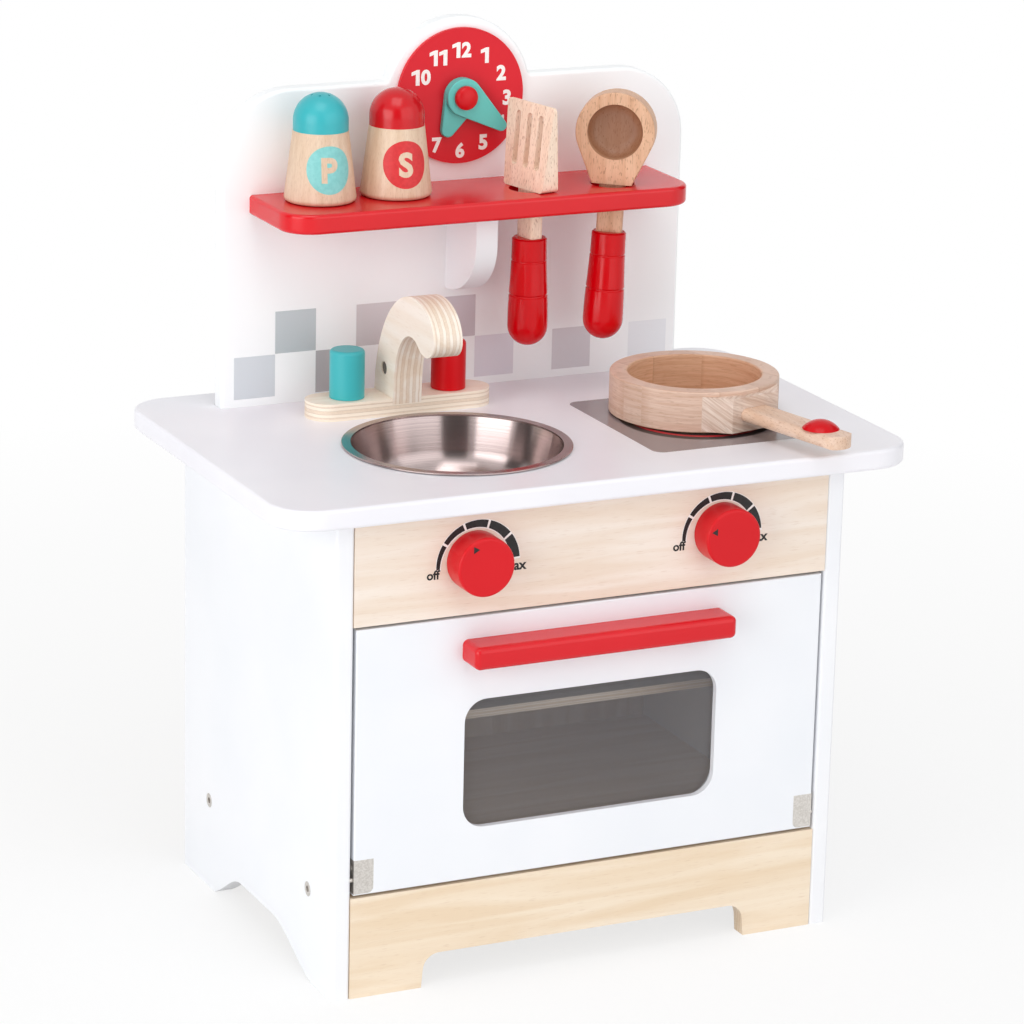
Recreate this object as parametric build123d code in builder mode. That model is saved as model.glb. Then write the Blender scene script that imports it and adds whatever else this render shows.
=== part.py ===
"""Toy play kitchen of painted board: a cabinet with an oven, a sink, a hob, a clock wall and loose tools.

Millimetres. +X is the right of the kitchen, +Y its back, +Z up. The origin is on the floor, under the
middle of everything that the kitchen covers, the pan's handle included.
"""

from build123d import *
from math import cos, radians, sin, sqrt
import os

os.makedirs("parts", exist_ok=True)

# Clearances
fit_gap = 0.1  # round a piece that is glued, pressed or screwed in
run_gap = 0.05  # radial, between a shaft and what turns on it
rest_gap = 0.3  # under what lifts off, and beside what turns
door_gap = 2.0  # round the oven door
near = 0.1  # slack when an edge is picked by its place

# Cabinet
cabinet_width = 371.0
cabinet_height = 330.0
side_thick = 13.0
panel_thick = 12.0  # control panel, plinth and oven floor
arris = 2.5  # rounded edges of the painted boards
control_height = 73.2
plinth_height = 70.4
plinth_arch_height = 23.4
plinth_foot = 51.5
plinth_foot_slope = 2.0
plinth_arch_corner = 12.0
side_arch_height = 24.0
side_front_foot = 33.0
side_back_foot = 58.0
side_front_rise = 71.0  # length of the long curve up from the front foot
side_back_rise = 50.0  # length of the short curve up from the back foot
back_thick = 5.0
back_inset = 6.0
back_bottom = 40.0
groove_depth = 5.0

# Countertop
top_width = 460.0
top_depth = 294.0
top_thick = 14.0
top_corner = 30.0
front_overhang = 21.0
back_overhang = 5.0

# Oven
oven_shelf_thick = 6.0
oven_shelf_rise = 91.1  # above the oven floor
oven_shelf_setback = 60.0
shelf_pin_radius = 2.5
shelf_pin_reach = 8.0
shelf_pin_inset = 30.0
door_thick = 12.0
door_arris = 1.0
window_width = 186.0
window_height = 89.3
window_rise = 35.6
window_corner = 15.5
pane_thick = 3.0
pane_setback = 4.5
pane_lap = 4.0
handle_length = 191.0
handle_height = 15.6
handle_depth = 22.0
handle_edge = 4.0
handle_drop = 22.7  # from the door's top to the handle's middle
hinge_rise = 10.0
hinge_setback = 3.5
hinge_pin_radius = 1.5
hinge_pin_grip = 8.0
plate_width = 14.0
plate_height = 23.5
plate_thick = 1.0
plate_depth = 10.0
plate_corner = 4.0
plate_screw_rise = 18.0
plate_screw_setback = 6.0
plate_screw_radius = 1.2
plate_screw_head = 2.2
plate_screw_length = 10.0
hinge_pin_reach = 9.0
handle_screw_spacing = 127.0
handle_screw_bite = 14.0
catch_width = 34.0
catch_depth = 12.0
catch_height = 24.0
strike_width = 30.0
strike_height = 11.0
strike_thick = 1.0

# Knobs
knob_radius = 20.0
knob_depth = 19.0
knob_spacing = 180.0
knob_shift = 1.8  # the pair stands a little right of the middle
knob_bore_depth = 14.0
knob_edge = 2.0
axle_radius = 3.0
axle_head_radius = 6.0
axle_head_thick = 3.0

# Fasteners
bolt_radius = 3.0
bolt_head_radius = 5.0
bolt_head_thick = 3.0
bolt_socket_radius = 2.2
bolt_reach = 25.0  # from the side panel's inner face to the barrel nut
bolt_tail = 6.0  # past the nut's middle
nut_radius = 4.5
nut_skin = 1.0  # wood left above and below a nut
front_bolt_inset = 42.0
back_bolt_inset = 47.0
dowel_radius = 3.0
dowel_half = 9.0
dowel_inset = 40.0
control_dowel_inset = 18.0
screw_radius = 2.0
screw_head_radius = 4.0
screw_head_thick = 2.0
screw_bite = 15.0

# Backsplash and its shelf
splash_width = 348.0
splash_thick = 13.5
splash_height = 218.4  # above the countertop, to the flat top
splash_corner = 50.0
splash_inset = 30.1  # from the countertop's back edge
slot_depth = 8.0
bump_radius = 54.2
bump_drop = 11.9  # its centre, below the flat top
bump_fillet = 3.0
splash_screw_spacing = 140.0
shelf_length = 302.0
shelf_offset = -3.0
shelf_depth = 74.1
shelf_thick = 13.6
shelf_rise = 133.9  # underside, above the countertop
shelf_corner = 22.0
shelf_screw_spacing = 220.0
tool_hole_radius = 15.1
bracket_width = 16.0
bracket_depth = 50.0
bracket_height = 62.0
bracket_nose = 23.0
bracket_screw_inset = 16.0

# Clock
dial_radius = 47.0
dial_thick = 3.0
hand_thick = 3.5
hand_root = 13.0
hour_length = 30.0
hour_tip = 5.0
hour_angle = 204.7  # clockwise from twelve
minute_length = 39.0
minute_tip = 4.0
minute_angle = 127.0
clock_axle_radius = 2.5
hub_radius = 8.25
hub_height = 5.8
hub_straight = 2.0

# Faucet
faucet_x = -61.0
faucet_setback = 41.4  # from the backsplash to the base's middle
faucet_length = 135.0
faucet_width = 32.0
faucet_base_thick = 12.0
faucet_bolt_head = 8.0
spout_thick = 21.0
spout_notch = 4.0
spout_nut_rise = 30.0
spout_height = 81.5  # this and the next rises are above its foot in the notch
spout_crown = 64.0  # this and the next reaches are forward from its heel
spout_reach = 97.5
spout_tip_rise = 57.0
spout_mouth_reach = 84.0
spout_mouth_rise = 45.5
spout_arch_reach = 60.0
spout_arch_rise = 54.0
spout_leg_depth = 33.0
spout_leg_rise = 14.0
tap_radius = 12.0
tap_height = 33.5
tap_bore_depth = 22.0
tap_edge = 2.5
tap_spacing = 75.5

# Sink
sink_x = -60.0
rim_width = 5.0
rim_edge = 0.48
rim_thick = 1.2
bowl_depth = 43.0
bowl_wall = 1.2
bowl_taper = 10.0
bowl_corner = 26.0
sink_gap = 3.3  # from the faucet's base to the rim
sink_clear = 7.2  # from the control panel to the bowl's wall

# Hob and pan
hob_x = 120.5
hob_front_back = -32.25  # its middle, from the countertop's middle
hob_width = 131.0
hob_depth = 137.5
hob_thick = 1.0
hob_corner = 8.0
pan_off_x = 6.0  # from the hob's middle
pan_off_y = 16.25
pan_radius = 58.2
pan_wall = 12.2
pan_height = 29.0
pan_base_thick = 4.0
pan_base_inset = 3.0
pan_base_show = 1.2  # how far the base stands below the ring
pan_edge = 1.2
block_reach = 63.7
block_front = 40.0
block_back = 67.2
block_rise = 2.0
block_top = 26.0
pan_handle_turn = 13.0  # degrees from straight forward, towards the right
pan_handle_reach = 153.0
pan_handle_width = 25.0
pan_handle_thick = 9.0
pan_handle_top = 18.0
pan_handle_grip = 11.0  # how deep it sits in the block and the ring
button_radius = 12.5
button_height = 6.0
button_inset = 24.0

# Shakers
shaker_base = 24.8
shaker_neck = 18.9
shaker_height = 48.0
cap_radius = 18.7
cap_straight = 6.5
spigot_radius = 8.0
spigot_length = 8.0
shaker_setback = 30.9  # from the backsplash
shaker_edge = 3.0
pepper_x = -115.5
salt_x = -60.0
sprinkle_radius = 6.6
sprinkle_hole = 0.9
sprinkle_count = 6
sprinkle_depth = 6.0

# Hanging tools
spatula_x = 35.7
spatula_setback = 42.4
spatula_turn = -78.0
blade_foot_width = 43.0
blade_tip_width = 52.0
blade_height = 59.0
blade_foot_thick = 14.0
blade_tip_thick = 2.0
blade_slot_width = 5.5
blade_slot_pitch = 12.5
blade_slot_length = 37.5
blade_slot_rise = 14.5
blade_corner = 3.0
ladle_x = 96.0
ladle_setback = 46.4
ladle_turn = -32.0
ladle_tilt = 2.7
ladle_lift = 1.0  # keeps the leaning neck's low corner off the shelf
ladle_radius = 27.4
ladle_thick = 20.0
ladle_rise = 36.2  # the head's middle, above the shelf
ladle_neck = 28.0
ladle_neck_edge = 2.0
ladle_edge = 1.2
ladle_recess_radius = 19.2
ladle_recess_depth = 13.0
ladle_recess_corner = 9.0
shank_width = 18.0
shank_thick = 10.0
shank_length = 34.3
tenon_radius = 4.0
tenon_length = 16.0
grip_top_radius = 12.0
grip_radius = 14.0
grip_length = 76.2
grip_swell = 53.0  # how far down the grip reaches its full thickness
grip_top_edge = 1.0
grip_groove = 1.1
grip_groove_first = 16.0
grip_groove_second = 40.0

# Places that follow from the sizes
pan_reach = (
    -(hob_front_back + pan_off_y)
    + (pan_handle_reach - pan_handle_width / 2) * cos(radians(pan_handle_turn))
    + pan_handle_width / 2
)
mid_y = (max(pan_reach, top_depth / 2) - top_depth / 2) / 2
top_front = mid_y - top_depth / 2
top_back = mid_y + top_depth / 2
top_z = cabinet_height + top_thick
front = top_front + front_overhang
back = top_back - back_overhang
outer_x = cabinet_width / 2
inner_x = outer_x - side_thick
panel_back = front + panel_thick
floor_top = plinth_height
floor_mid = floor_top - panel_thick / 2
back_panel_y = back - back_inset - back_thick
control_bottom = cabinet_height - control_height
door_bottom = plinth_height + door_gap
door_top = control_bottom - door_gap
door_half = inner_x - door_gap
door_back = front + door_thick
hinge_y = front + hinge_setback
hinge_z = door_bottom + hinge_rise
plate_screw_y = front + plate_screw_setback
plate_screw_z = door_bottom + plate_screw_rise
knob_z = cabinet_height - control_height / 2
handle_z = door_top - handle_drop
splash_back = top_back - splash_inset
splash_front = splash_back - splash_thick
splash_top = top_z + splash_height
slot_floor = top_z - slot_depth
bump_z = splash_top - bump_drop
shelf_bottom = top_z + shelf_rise
shelf_top = shelf_bottom + shelf_thick
shelf_mid = (shelf_bottom + shelf_top) / 2
shelf_front = splash_front - shelf_depth
dial_front = splash_front - dial_thick
hour_back = dial_front - rest_gap
minute_back = hour_back - hand_thick - rest_gap
hub_back = minute_back - hand_thick - rest_gap
faucet_y = splash_front - faucet_setback
sink_back = faucet_y - faucet_width / 2 - sink_gap
rim_radius = (sink_back - panel_back - sink_clear + rim_width) / 2
sink_y = sink_back - rim_radius
sink_hole_radius = rim_radius - rim_width
hob_y = mid_y + hob_front_back
pan_x = hob_x + pan_off_x
pan_y = hob_y + pan_off_y
pan_seat = top_z + rest_gap
shaker_y = splash_front - shaker_setback
bolt_places = [front + front_bolt_inset, back - back_bolt_inset]
dowel_places = [front + dowel_inset, back - dowel_inset]
front_dowel_heights = [
    plinth_height / 2,
    control_bottom + control_dowel_inset,
    cabinet_height - control_dowel_inset,
]
oven_shelf_bottom = floor_top + oven_shelf_rise
oven_shelf_front = front + oven_shelf_setback
shelf_pin_z = oven_shelf_bottom - shelf_pin_radius
shelf_pin_places = [oven_shelf_front + shelf_pin_inset, back_panel_y - shelf_pin_inset]
bracket_screw_heights = [
    shelf_bottom - bracket_screw_inset,
    shelf_bottom - bracket_height + bracket_screw_inset,
]


def facing_front(y):
    """A plane at this depth that faces the front: its x is the kitchen's X, its y is Z."""
    return Plane.XZ.offset(-y)


def upright(x, y, z=0.0):
    """A plane through a vertical axis, for turned profiles of radius and height."""
    return Plane((x, y, z), x_dir=(1, 0, 0), z_dir=(0, -1, 0))


def rod(start, along, radius, length):
    """A round bar from a point, in the direction along."""
    with Locations(Plane(start, z_dir=along)):
        Cylinder(radius, length, align=(Align.CENTER, Align.CENTER, Align.MIN))


def bore(start, along, radius, length):
    """The hole for a rod, cut from the same point in the same direction."""
    with Locations(Plane(start, z_dir=along)):
        Cylinder(
            radius, length, align=(Align.CENTER, Align.CENTER, Align.MIN), mode=Mode.SUBTRACT
        )


def quarter(start, end, level_first):
    """A quarter of an ellipse that leaves its start level or upright, and ends the other way."""
    kappa = 4 / 3 * (sqrt(2) - 1)
    leave = (kappa, 0) if level_first else (0, kappa)
    arrive = (0, kappa) if level_first else (kappa, 0)
    run, rise = end[0] - start[0], end[1] - start[1]
    return Bezier(
        start, (start[0] + leave[0] * run, start[1] + leave[1] * rise),
        (end[0] - arrive[0] * run, end[1] - arrive[1] * rise), end,
    )


def save(builder, name):
    """Label a finished piece and write it."""
    builder.part.label = name
    export_step(builder.part, f"parts/{name}.step")


# Side panels: boards with an arched foot, a groove for the back panel and holes for what joins them
def side_panel(hand):
    inward = (-hand, 0, 0)
    face = hand * inner_x
    outside = hand * outer_x
    with BuildPart() as panel:
        with BuildSketch(Plane.YZ.offset(min(face, outside))):
            with BuildLine():
                front_foot = front + side_front_foot
                back_foot = back - side_back_foot
                rise_end = front_foot + side_front_rise
                rise_start = back_foot - side_back_rise
                low_rise = side_arch_height / 8
                high_rise = side_arch_height / 2
                Polyline(
                    (front_foot, 0), (front, 0), (front, cabinet_height), (back, cabinet_height),
                    (back, 0), (back_foot, 0),
                )
                Bezier(
                    (back_foot, 0),
                    (back_foot - side_back_rise / 2, high_rise),
                    (rise_start + side_back_rise / 3, side_arch_height),
                    (rise_start, side_arch_height),
                )
                Line((rise_start, side_arch_height), (rise_end, side_arch_height))
                Bezier(
                    (rise_end, side_arch_height),
                    (rise_end - side_front_rise / 3, side_arch_height),
                    (front_foot + side_front_rise / 3, low_rise),
                    (front_foot, 0),
                )
            make_face()
        extrude(amount=side_thick)
        front_edges = panel.edges().filter_by(Axis.Z).group_by(Axis.Y)[0]
        fillet(front_edges, min(arris, side_thick / 3))
        with BuildSketch(Plane.XY.offset(cabinet_height)):
            with Locations((face, back_panel_y + back_thick / 2)):
                Rectangle(2 * (groove_depth + fit_gap), back_thick + 2 * fit_gap)
        extrude(amount=-(cabinet_height - back_bottom + fit_gap), mode=Mode.SUBTRACT)
        for y in bolt_places:
            bore((outside, y, floor_mid), inward, bolt_head_radius + fit_gap, bolt_head_thick)
            bore((outside, y, floor_mid), inward, bolt_radius + fit_gap, side_thick)
        for y in dowel_places:
            top_of_board = (hand * (inner_x + side_thick / 2), y, cabinet_height)
            bore(top_of_board, (0, 0, -1), dowel_radius + fit_gap, dowel_half + fit_gap)
        for z in front_dowel_heights:
            bore(
                (face, front + panel_thick / 2, z), (hand, 0, 0),
                dowel_radius + fit_gap, dowel_half + fit_gap,
            )
        for y in shelf_pin_places:
            bore(
                (face, y, shelf_pin_z), (hand, 0, 0),
                shelf_pin_radius + fit_gap, shelf_pin_reach + fit_gap,
            )
        bore(
            (face, hinge_y, hinge_z), (hand, 0, 0), hinge_pin_radius + fit_gap,
            hinge_pin_grip + fit_gap,
        )
    return panel


save(side_panel(-1), "side_panel_left")
save(side_panel(1), "side_panel_right")

# Countertop: one rounded board with the sink's hole, the backsplash's slot and the hob's recess
with BuildPart() as countertop:
    with BuildSketch(Plane.XY.offset(cabinet_height)):
        with Locations((0, mid_y)):
            RectangleRounded(top_width, top_depth, top_corner)
    extrude(amount=top_thick)
    rims = countertop.faces().sort_by(Axis.Z)
    fillet(rims[0].edges() + rims[-1].edges(), arris)
    with BuildSketch(Plane.XY.offset(cabinet_height)):
        with Locations((sink_x, sink_y)):
            Circle(sink_hole_radius + rest_gap)
    extrude(amount=top_thick, mode=Mode.SUBTRACT)
    with BuildSketch(Plane.XY.offset(slot_floor)):
        with Locations((0, (splash_front + splash_back) / 2)):
            Rectangle(splash_width + 2 * fit_gap, splash_thick + 2 * fit_gap)
    extrude(amount=slot_depth, mode=Mode.SUBTRACT)
    with BuildSketch(Plane.XY.offset(top_z - hob_thick)):
        with Locations((hob_x, hob_y)):
            RectangleRounded(hob_width + 2 * fit_gap, hob_depth + 2 * fit_gap, hob_corner)
    extrude(amount=hob_thick, mode=Mode.SUBTRACT)
    for hand in (-1, 1):
        for y in dowel_places:
            bore(
                (hand * (inner_x + side_thick / 2), y, cabinet_height), (0, 0, 1),
                dowel_radius + fit_gap, dowel_half + fit_gap,
            )
    for x in (-splash_screw_spacing, 0, splash_screw_spacing):
        below = (x, (splash_front + splash_back) / 2, cabinet_height)
        bore(below, (0, 0, 1), screw_head_radius + fit_gap, screw_head_thick)
        bore(below, (0, 0, 1), screw_radius + fit_gap, top_thick)
    bore((faucet_x, faucet_y, cabinet_height), (0, 0, 1), bolt_radius + fit_gap, top_thick)
    for hand in (-1, 1):
        bore(
            (faucet_x + hand * tap_spacing / 2, faucet_y, cabinet_height), (0, 0, 1),
            axle_radius + fit_gap, top_thick,
        )
save(countertop, "countertop")

# Control panel: bare birch board between the sides, with a hole for each knob's axle
with BuildPart() as control_panel:
    with BuildSketch(facing_front(panel_back)):
        with Locations((0, (control_bottom + cabinet_height) / 2)):
            Rectangle(2 * inner_x, control_height)
    extrude(amount=panel_thick)
    for hand in (-1, 1):
        bore(
            (knob_shift + hand * knob_spacing / 2, panel_back, knob_z), (0, -1, 0), axle_radius + fit_gap,
            panel_thick,
        )
        for z in front_dowel_heights[1:]:
            bore(
                (hand * inner_x, front + panel_thick / 2, z), (-hand, 0, 0),
                dowel_radius + fit_gap, dowel_half + fit_gap,
            )
save(control_panel, "control_panel")

# Plinth: the board under the oven door, cut away between two feet
with BuildPart() as plinth:
    with BuildSketch(facing_front(panel_back)):
        with BuildLine():
            foot_x = inner_x - plinth_foot
            arch_x = foot_x - plinth_foot_slope
            arch_corner = min(plinth_arch_corner, plinth_arch_height / 2)
            Polyline(
                (-inner_x, 0), (-foot_x, 0), (-arch_x, plinth_arch_height),
                (arch_x, plinth_arch_height), (foot_x, 0), (inner_x, 0),
                (inner_x, plinth_height), (-inner_x, plinth_height), close=True,
            )
        make_face()
    extrude(amount=panel_thick)
    arch_edges = plinth.edges().filter_by(Axis.Y).filter_by_position(
        Axis.Z, plinth_arch_height - near, plinth_arch_height + near
    )
    fillet(arch_edges, arch_corner)
    for hand in (-1, 1):
        bore(
            (hand * inner_x, front + panel_thick / 2, front_dowel_heights[0]), (-hand, 0, 0),
            dowel_radius + fit_gap, dowel_half + fit_gap,
        )
save(plinth, "plinth_panel")

# Oven floor: level with the plinth's top, drilled in its ends for the bolts and below for their nuts
nut_x = inner_x - bolt_reach
nut_length = panel_thick - 2 * nut_skin
with BuildPart() as oven_floor:
    with BuildSketch(Plane.XY.offset(floor_top - panel_thick)):
        with Locations((0, (panel_back + back_panel_y) / 2)):
            Rectangle(2 * inner_x, back_panel_y - panel_back)
    extrude(amount=panel_thick)
    for hand in (-1, 1):
        for y in bolt_places:
            bore(
                (hand * inner_x, y, floor_mid), (-hand, 0, 0), bolt_radius + fit_gap,
                bolt_reach + bolt_tail + fit_gap,
            )
            bore(
                (hand * nut_x, y, floor_top - panel_thick), (0, 0, 1), nut_radius + fit_gap,
                nut_skin + nut_length,
            )
save(oven_floor, "oven_floor")

# Back panel: thin board in the grooves of both sides
with BuildPart() as back_panel:
    with BuildSketch(facing_front(back_panel_y + back_thick)):
        with Locations((0, (back_bottom + cabinet_height) / 2)):
            Rectangle(2 * (inner_x + groove_depth), cabinet_height - back_bottom)
    extrude(amount=back_thick)
save(back_panel, "back_panel")

# Oven shelf: thin plywood on four pins, set back from the door
with BuildPart() as oven_shelf:
    with BuildSketch(Plane.XY.offset(oven_shelf_bottom)):
        with Locations((0, (oven_shelf_front + back_panel_y - fit_gap) / 2)):
            Rectangle(2 * (inner_x - fit_gap), back_panel_y - fit_gap - oven_shelf_front)
    extrude(amount=oven_shelf_thick)
save(oven_shelf, "oven_shelf")

# Shelf pins, half in the side panels and half under the oven shelf
with BuildPart() as shelf_pins:
    for hand in (-1, 1):
        for y in shelf_pin_places:
            rod(
                (hand * (inner_x + shelf_pin_reach), y, shelf_pin_z), (-hand, 0, 0),
                shelf_pin_radius, 2 * shelf_pin_reach,
            )
save(shelf_pins, "shelf_pins")

# Cabinet bolts: flush heads on the sides, shanks into the oven floor
with BuildPart() as cabinet_bolts:
    for hand in (-1, 1):
        for y in bolt_places:
            rod((hand * outer_x, y, floor_mid), (-hand, 0, 0), bolt_head_radius, bolt_head_thick)
            rod(
                (hand * outer_x, y, floor_mid), (-hand, 0, 0), bolt_radius,
                side_thick + bolt_reach + bolt_tail,
            )
            bore(
                (hand * outer_x, y, floor_mid), (-hand, 0, 0), bolt_socket_radius,
                bolt_head_thick - nut_skin,
            )
save(cabinet_bolts, "cabinet_bolts")

# Barrel nuts, upright in the oven floor, each crossed by its bolt
with BuildPart() as barrel_nuts:
    for hand in (-1, 1):
        for y in bolt_places:
            rod(
                (hand * nut_x, y, floor_top - panel_thick + nut_skin), (0, 0, 1), nut_radius,
                nut_length,
            )
            bore(
                (hand * inner_x, y, floor_mid), (-hand, 0, 0), bolt_radius + fit_gap,
                bolt_reach + bolt_tail,
            )
save(barrel_nuts, "barrel_nuts")

# Dowels: sides to countertop, control panel and plinth
with BuildPart() as dowels:
    for hand in (-1, 1):
        for y in dowel_places:
            rod(
                (hand * (inner_x + side_thick / 2), y, cabinet_height - dowel_half), (0, 0, 1),
                dowel_radius, 2 * dowel_half,
            )
        for z in front_dowel_heights:
            rod(
                (hand * (inner_x + dowel_half), front + panel_thick / 2, z), (-hand, 0, 0),
                dowel_radius, 2 * dowel_half,
            )
save(dowels, "dowels")

# Backsplash: an upright board in the countertop's slot, with a round head for the clock
with BuildPart() as backsplash:
    with BuildSketch(facing_front(splash_back)) as outline:
        splash_foot = slot_floor + fit_gap
        with Locations((0, (splash_foot + splash_top) / 2)):
            Rectangle(splash_width, splash_top - splash_foot)
        fillet(outline.vertices().group_by(Axis.Y)[-1], splash_corner)
        with Locations((0, bump_z)):
            Circle(bump_radius)
        level = outline.vertices().filter_by_position(Axis.Y, splash_top - near, splash_top + near)
        necks = level.filter_by_position(Axis.X, -bump_radius, bump_radius)
        fillet(necks, bump_fillet)
    extrude(amount=splash_thick)
    rims = backsplash.faces().sort_by(Axis.Y)
    rim_edges = (rims[0].edges() + rims[-1].edges()).filter_by_position(
        Axis.Z, top_z + near, splash_top + bump_radius
    )
    upper_edges = [edge for edge in rim_edges if edge.bounding_box().min.Z > splash_foot + near]
    fillet(upper_edges, min(arris, splash_thick / 4))
    for x in (-splash_screw_spacing, 0, splash_screw_spacing):
        bore(
            (x, (splash_front + splash_back) / 2, splash_foot), (0, 0, 1),
            screw_radius + fit_gap, screw_bite + fit_gap,
        )
    for hand in (-1, 1):
        bore(
            (shelf_offset + hand * shelf_screw_spacing / 2, splash_back, shelf_mid), (0, -1, 0),
            screw_radius + fit_gap, splash_thick,
        )
    for z in bracket_screw_heights:
        bore((0, splash_back, z), (0, -1, 0), screw_radius + fit_gap, splash_thick)
    bore((0, splash_back, bump_z), (0, -1, 0), clock_axle_radius + fit_gap, splash_thick)
save(backsplash, "backsplash")

# Splash screws, up through the countertop into the backsplash's foot
with BuildPart() as splash_screws:
    for x in (-splash_screw_spacing, 0, splash_screw_spacing):
        below = (x, (splash_front + splash_back) / 2, cabinet_height)
        rod(below, (0, 0, 1), screw_head_radius, screw_head_thick)
        rod(below, (0, 0, 1), screw_radius, top_thick - slot_depth + screw_bite)
save(splash_screws, "splash_screws")

# Wall shelf: a red board with two round holes that the tools hang in
with BuildPart() as wall_shelf:
    with BuildSketch(Plane.XY.offset(shelf_bottom)) as plan:
        with Locations((shelf_offset, (shelf_front + splash_front) / 2)):
            Rectangle(shelf_length, shelf_depth)
        fillet(plan.vertices().group_by(Axis.Y)[0], shelf_corner)
    extrude(amount=shelf_thick)
    board_edges = wall_shelf.faces().sort_by(Axis.Z)
    round_edges = (board_edges[0].edges() + board_edges[-1].edges()).filter_by_position(
        Axis.Y, shelf_front - near, splash_front - near
    )
    fillet(round_edges, min(arris, shelf_thick / 4))
    for x, setback in ((spatula_x, spatula_setback), (ladle_x, ladle_setback)):
        bore(
            (x, splash_front - setback, shelf_bottom), (0, 0, 1), tool_hole_radius, shelf_thick
        )
    for hand in (-1, 1):
        bore(
            (shelf_offset + hand * shelf_screw_spacing / 2, splash_front, shelf_mid), (0, -1, 0),
            screw_radius + fit_gap, screw_bite + fit_gap,
        )
save(wall_shelf, "wall_shelf")

# Shelf bracket: a white board on edge, with a curved nose
with BuildPart() as bracket:
    with BuildSketch(Plane.YZ.offset(-bracket_width / 2)):
        with BuildLine():
            bracket_front = splash_front - bracket_depth
            nose_z = shelf_bottom - bracket_nose
            foot_z = shelf_bottom - bracket_height
            Polyline(
                (bracket_front, nose_z), (bracket_front, shelf_bottom),
                (splash_front, shelf_bottom), (splash_front, foot_z),
            )
            quarter((splash_front, foot_z), (bracket_front, nose_z), level_first=True)
        make_face()
    extrude(amount=bracket_width)
    for z in bracket_screw_heights:
        bore(
            (0, splash_front, z), (0, -1, 0), screw_radius + fit_gap, screw_bite + fit_gap
        )
save(bracket, "shelf_bracket")

# Shelf screws, from behind the backsplash into the shelf and its bracket
with BuildPart() as shelf_screws:
    screw_points = [
        (shelf_offset + hand * shelf_screw_spacing / 2, splash_back, shelf_mid) for hand in (-1, 1)
    ]
    screw_points += [(0, splash_back, z) for z in bracket_screw_heights]
    for point in screw_points:
        rod(point, (0, 1, 0), screw_head_radius, screw_head_thick)
        rod(point, (0, -1, 0), screw_radius, splash_thick + screw_bite)
save(shelf_screws, "shelf_screws")

# Clock dial: a flat red disc on the backsplash's round head
with BuildPart() as dial:
    with BuildSketch(facing_front(splash_front)):
        with Locations((0, bump_z)):
            Circle(dial_radius)
            Circle(clock_axle_radius + fit_gap, mode=Mode.SUBTRACT)
    extrude(amount=dial_thick)
save(dial, "clock_dial")

# Clock axle: a headed pin from behind, through the board, the dial and both hands
with BuildPart() as clock_axle:
    rod((0, splash_back, bump_z), (0, 1, 0), axle_head_radius, axle_head_thick)
    rod(
        (0, splash_back, bump_z), (0, -1, 0), clock_axle_radius,
        splash_back - hub_back + hub_height / 2,
    )
save(clock_axle, "clock_axle")


# Clock hands: teardrops that turn on the axle
def clock_hand(back_y, length, tip_radius, angle):
    with BuildPart() as hand:
        with BuildSketch(facing_front(back_y)):
            with Locations((0, bump_z)):
                Circle(hand_root)
            reach = length - tip_radius
            tip = (reach * sin(radians(angle)), bump_z + reach * cos(radians(angle)))
            with Locations(tip):
                Circle(tip_radius)
            make_hull()
            with Locations((0, bump_z)):
                Circle(clock_axle_radius + run_gap, mode=Mode.SUBTRACT)
        extrude(amount=hand_thick)
        front_rim = hand.faces().sort_by(Axis.Y)[0].outer_wire().edges()
        fillet(front_rim, hand_thick / 4)
    return hand


save(clock_hand(hour_back, hour_length, hour_tip, hour_angle), "hour_hand")
save(clock_hand(minute_back, minute_length, minute_tip, minute_angle), "minute_hand")

# Clock hub: a domed button glued on the axle's end
with BuildPart() as hub:
    with BuildSketch(Plane((0, hub_back, bump_z), x_dir=(1, 0, 0), z_dir=(0, 0, 1))):
        with BuildLine():
            Polyline((0, -hub_height), (0, 0), (hub_radius, 0), (hub_radius, -hub_straight))
            quarter((hub_radius, -hub_straight), (0, -hub_height), level_first=False)
        make_face()
    revolve(axis=Axis((0, hub_back, bump_z), (0, 1, 0)))
    bore(
        (0, hub_back, bump_z), (0, -1, 0), clock_axle_radius + fit_gap,
        hub_height / 2 + fit_gap,
    )
save(hub, "clock_hub")

# Faucet base: a stadium of bare plywood, notched for the spout
spout_foot = top_z + faucet_base_thick - spout_notch
with BuildPart() as faucet_base:
    with BuildSketch(Plane.XY.offset(top_z)):
        with Locations((faucet_x, faucet_y)):
            SlotOverall(faucet_length, faucet_width)
    extrude(amount=faucet_base_thick)
    with BuildSketch(Plane.XY.offset(spout_foot)):
        with Locations((faucet_x, faucet_y)):
            Rectangle(spout_thick + 2 * fit_gap, faucet_width)
    extrude(amount=spout_notch, mode=Mode.SUBTRACT)
    bore((faucet_x, faucet_y, top_z), (0, 0, 1), bolt_radius + fit_gap, faucet_base_thick)
    for hand in (-1, 1):
        bore(
            (faucet_x + hand * tap_spacing / 2, faucet_y, top_z), (0, 0, 1),
            axle_radius + fit_gap, faucet_base_thick,
        )
save(faucet_base, "faucet_base")

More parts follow.
